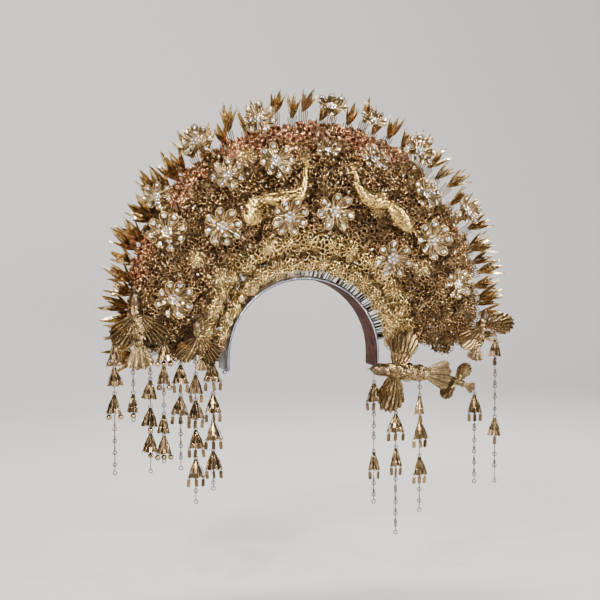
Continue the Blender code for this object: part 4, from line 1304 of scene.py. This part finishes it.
def chain(x, y, top, bottom, taken, link):
    """Stiff wire down a strand, with rings on it wherever no cap covers them."""
    copies = []
    height, turn = top, 0
    while height - CHAIN_STEP > bottom + 0.003:
        lower = height - CHAIN_STEP
        copies.append(rod(Vector((x, y, height)), Vector((x, y, lower - CHAIN_OVERLAP)), CHAIN_WIRE))
        if all(lower > high_end or height < low_end for high_end, low_end in taken):
            for below in CHAIN_RINGS:
                spin = turned(90, "X") if turn % 2 else turned(90, "Y")
                spin = Matrix.Rotation(rng.uniform(-0.5, 0.5), 4, "Z") @ spin
                copies.append((link, moved((x, y, height - below)) @ spin))
                turn += 1
        height = lower
    copies.append(rod(Vector((x, y, height)), Vector((x, y, bottom + 0.004)), CHAIN_WIRE))
    copies.append((link, moved((x, y, bottom + 0.0026)) @ turned(90, "X")))
    return copies


def build_strand(name, caps, ribs, links):
    """Bell caps of one strand; their ribs and the wire links go to two shared pieces."""
    low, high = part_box(name)
    x, y, top, bottom = (low[0] + high[0]) / 2, (low[1] + high[1]) / 2, high[2], low[2]
    link = ring(radius=0.0019, wire=0.00052, steps=12, sides=5)
    small_link = ring(radius=0.0013, wire=0.00040, steps=10)
    tab, drop = drop_tab(width=0.0036, length=0.0080), ball(radius=0.0030, subdivisions=2)
    lower = moved((x, y - 0.001, 0))
    copies, taken = [], []
    for below, width, tabs in caps:
        upper = top - below
        swing = Matrix.Rotation(rng.uniform(-0.08, 0.08), 4, "Y") @ Matrix.Rotation(rng.uniform(0, 3), 4, "Z")
        hung = moved((x, y, upper)) @ swing
        copies.append((bell_cap(width * 0.94, CAP_HEIGHT), hung))
        ribs += cap_ribs(hung, width)
        links.append((link, moved((x, y, upper + 0.0014)) @ turned(90, "X")))
        taken.append((upper + 0.003, upper - CAP_HEIGHT))
        for step in range(tabs):
            side = (step - (tabs - 1) / 2) * width * (0.44 if tabs == 3 else 0.78)
            hang = lower @ moved((side, 0, upper - CAP_HEIGHT - 0.0008))
            hang = hang @ Matrix.Rotation(rng.uniform(-0.7, 0.7), 4, "Z")
            hang = hang @ Matrix.Rotation(rng.uniform(-0.16, 0.16), 4, "Y")
            links.append((small_link, hang @ turned(90, "X")))
            if name in BALL_STRANDS:
                ribs.append((drop, hang @ moved((0, 0, -0.0038))))
            else:
                copies.append((tab, hang @ moved((0, 0, -0.0012))))
    links += chain(x, y, top, bottom, taken, link)
    # caps in the darker copy of the bell bronze, as painted shade
    piece(name + "_bells", copies, SHADED_BELL, "strand_gilt", name)


def build_strands():
    ribs, links = [], []
    for name, caps in STRANDS.items():
        build_strand(name, caps, ribs, links)
    # ribs and drops in the lighter copy of the bell bronze, as painted light
    piece("bell_ribs", ribs, LIT_BELL_RIB, "strand_gilt")
    piece("strand_links", links, LINK, "strand_gilt")


# floor, light and camera
FLOOR_SIZE = 4.4
FLOOR_Z = -0.33
FLOOR_RISE = 0.75
FLOOR_RISES_FROM = 1.7
# the photo's scale in metres a pixel, its width in pixels, and the camera's sensor in millimetres
PIXEL, PICTURE_WIDTH, SENSOR = 0.00105, 600, 36
CROWN_SPOT, WALL_SPOT = (0, -0.03, 0.02), (0, 2.6, 0.1)
# lights: name, place, the spot they point at, width, watts and colour
LIGHTS = (
    ("key", (-1.0, -1.7, 1.3), CROWN_SPOT, 0.20, 52, (1.0, 0.96, 0.90)),
    ("fill", (1.5, -1.5, 0.3), CROWN_SPOT, 0.3, 34, (0.96, 0.97, 1.0)),
    ("front", (-0.2, -2.4, 0.4), CROWN_SPOT, 0.20, 36, (1.0, 0.98, 0.95)),
    ("side", (-1.8, -0.9, 0.1), CROWN_SPOT, 0.3, 12, (1.0, 0.96, 0.90)),
    ("glint", (0.7, -1.9, 1.5), CROWN_SPOT, 0.14, 22, (0.95, 0.97, 1.0)),
    ("top", (0.1, 0.2, 1.7), CROWN_SPOT, 0.4, 22, (1.0, 0.98, 0.94)),
    ("back", (0.6, 1.3, 0.8), CROWN_SPOT, 0.7, 12, (1.0, 0.97, 0.92)),
    ("backdrop", (0, 0.9, 2.6), WALL_SPOT, 2.5, 90, (1.0, 0.99, 0.97)),
)


def build_floor():
    bm = bmesh.new()
    bmesh.ops.create_grid(bm, x_segments=32, y_segments=64, size=FLOOR_SIZE)
    for vert in bm.verts:
        vert.co.z = FLOOR_Z + FLOOR_RISE * max(0, vert.co.y - FLOOR_RISES_FROM) ** 2
    floor = bpy.data.objects.new("floor", shape(bm))
    bpy.context.scene.collection.objects.link(floor)
    material, tree, shader = finish("pale_floor")
    feed(tree, shader, {"Base Color": (0.64, 0.63, 0.61, 1), "Roughness": 0.8})
    floor.data.materials.append(material)


def build_world():
    """Dim room for the metal to mirror, with a pale surround where the camera looks past the floor."""
    world = bpy.data.worlds.new("studio")
    bpy.context.scene.world = world
    world.use_nodes = True
    tree = world.node_tree
    room, output = tree.nodes["Background"], tree.nodes["World Output"]
    feed(tree, room.inputs, {"Color": (0.80, 0.82, 0.86, 1), "Strength": 0.08})
    surround = node(tree, "Background", {"Color": (0.52, 0.52, 0.515, 1)})[0]
    seen = node(tree, "LightPath")["Is Camera Ray"]
    mix = node(tree, "MixShader", {"Fac": seen, 1: room.outputs[0], 2: surround})[0]
    feed(tree, output.inputs, {"Surface": mix})


def build_lights():
    for name, place, aim, size, power, colour in LIGHTS:
        light = bpy.data.lights.new(name, "AREA")
        light.energy, light.size, light.color = power, size, colour
        lamp = bpy.data.objects.new(name, light)
        lamp.location = place
        lamp.rotation_euler = (Vector(aim) - Vector(place)).to_track_quat("-Z", "Y").to_euler()
        bpy.context.scene.collection.objects.link(lamp)


def build_camera():
    azimuth, elevation, distance = math.radians(-16), math.radians(4), 2.2
    target = Vector((-0.003, -0.015, -0.0212))
    level = math.cos(elevation)
    back = Vector((math.sin(azimuth) * level, -math.cos(azimuth) * level, math.sin(elevation)))
    camera = bpy.data.cameras.new("photo_camera")
    camera.sensor_width = SENSOR
    camera.lens = SENSOR * distance / (PICTURE_WIDTH * PIXEL)
    holder = bpy.data.objects.new("photo_camera", camera)
    holder.location = target + back * distance
    holder.rotation_euler = back.to_track_quat("Z", "Y").to_euler()
    bpy.context.scene.collection.objects.link(holder)
    bpy.context.scene.camera = holder


build_band()
build_gold_rows()
build_bronze_rows()
build_copper_row()
build_accents()
build_rim()
build_crystals()
build_peacocks()
build_birds()
build_strands()
build_floor()
build_world()
build_lights()
build_camera()
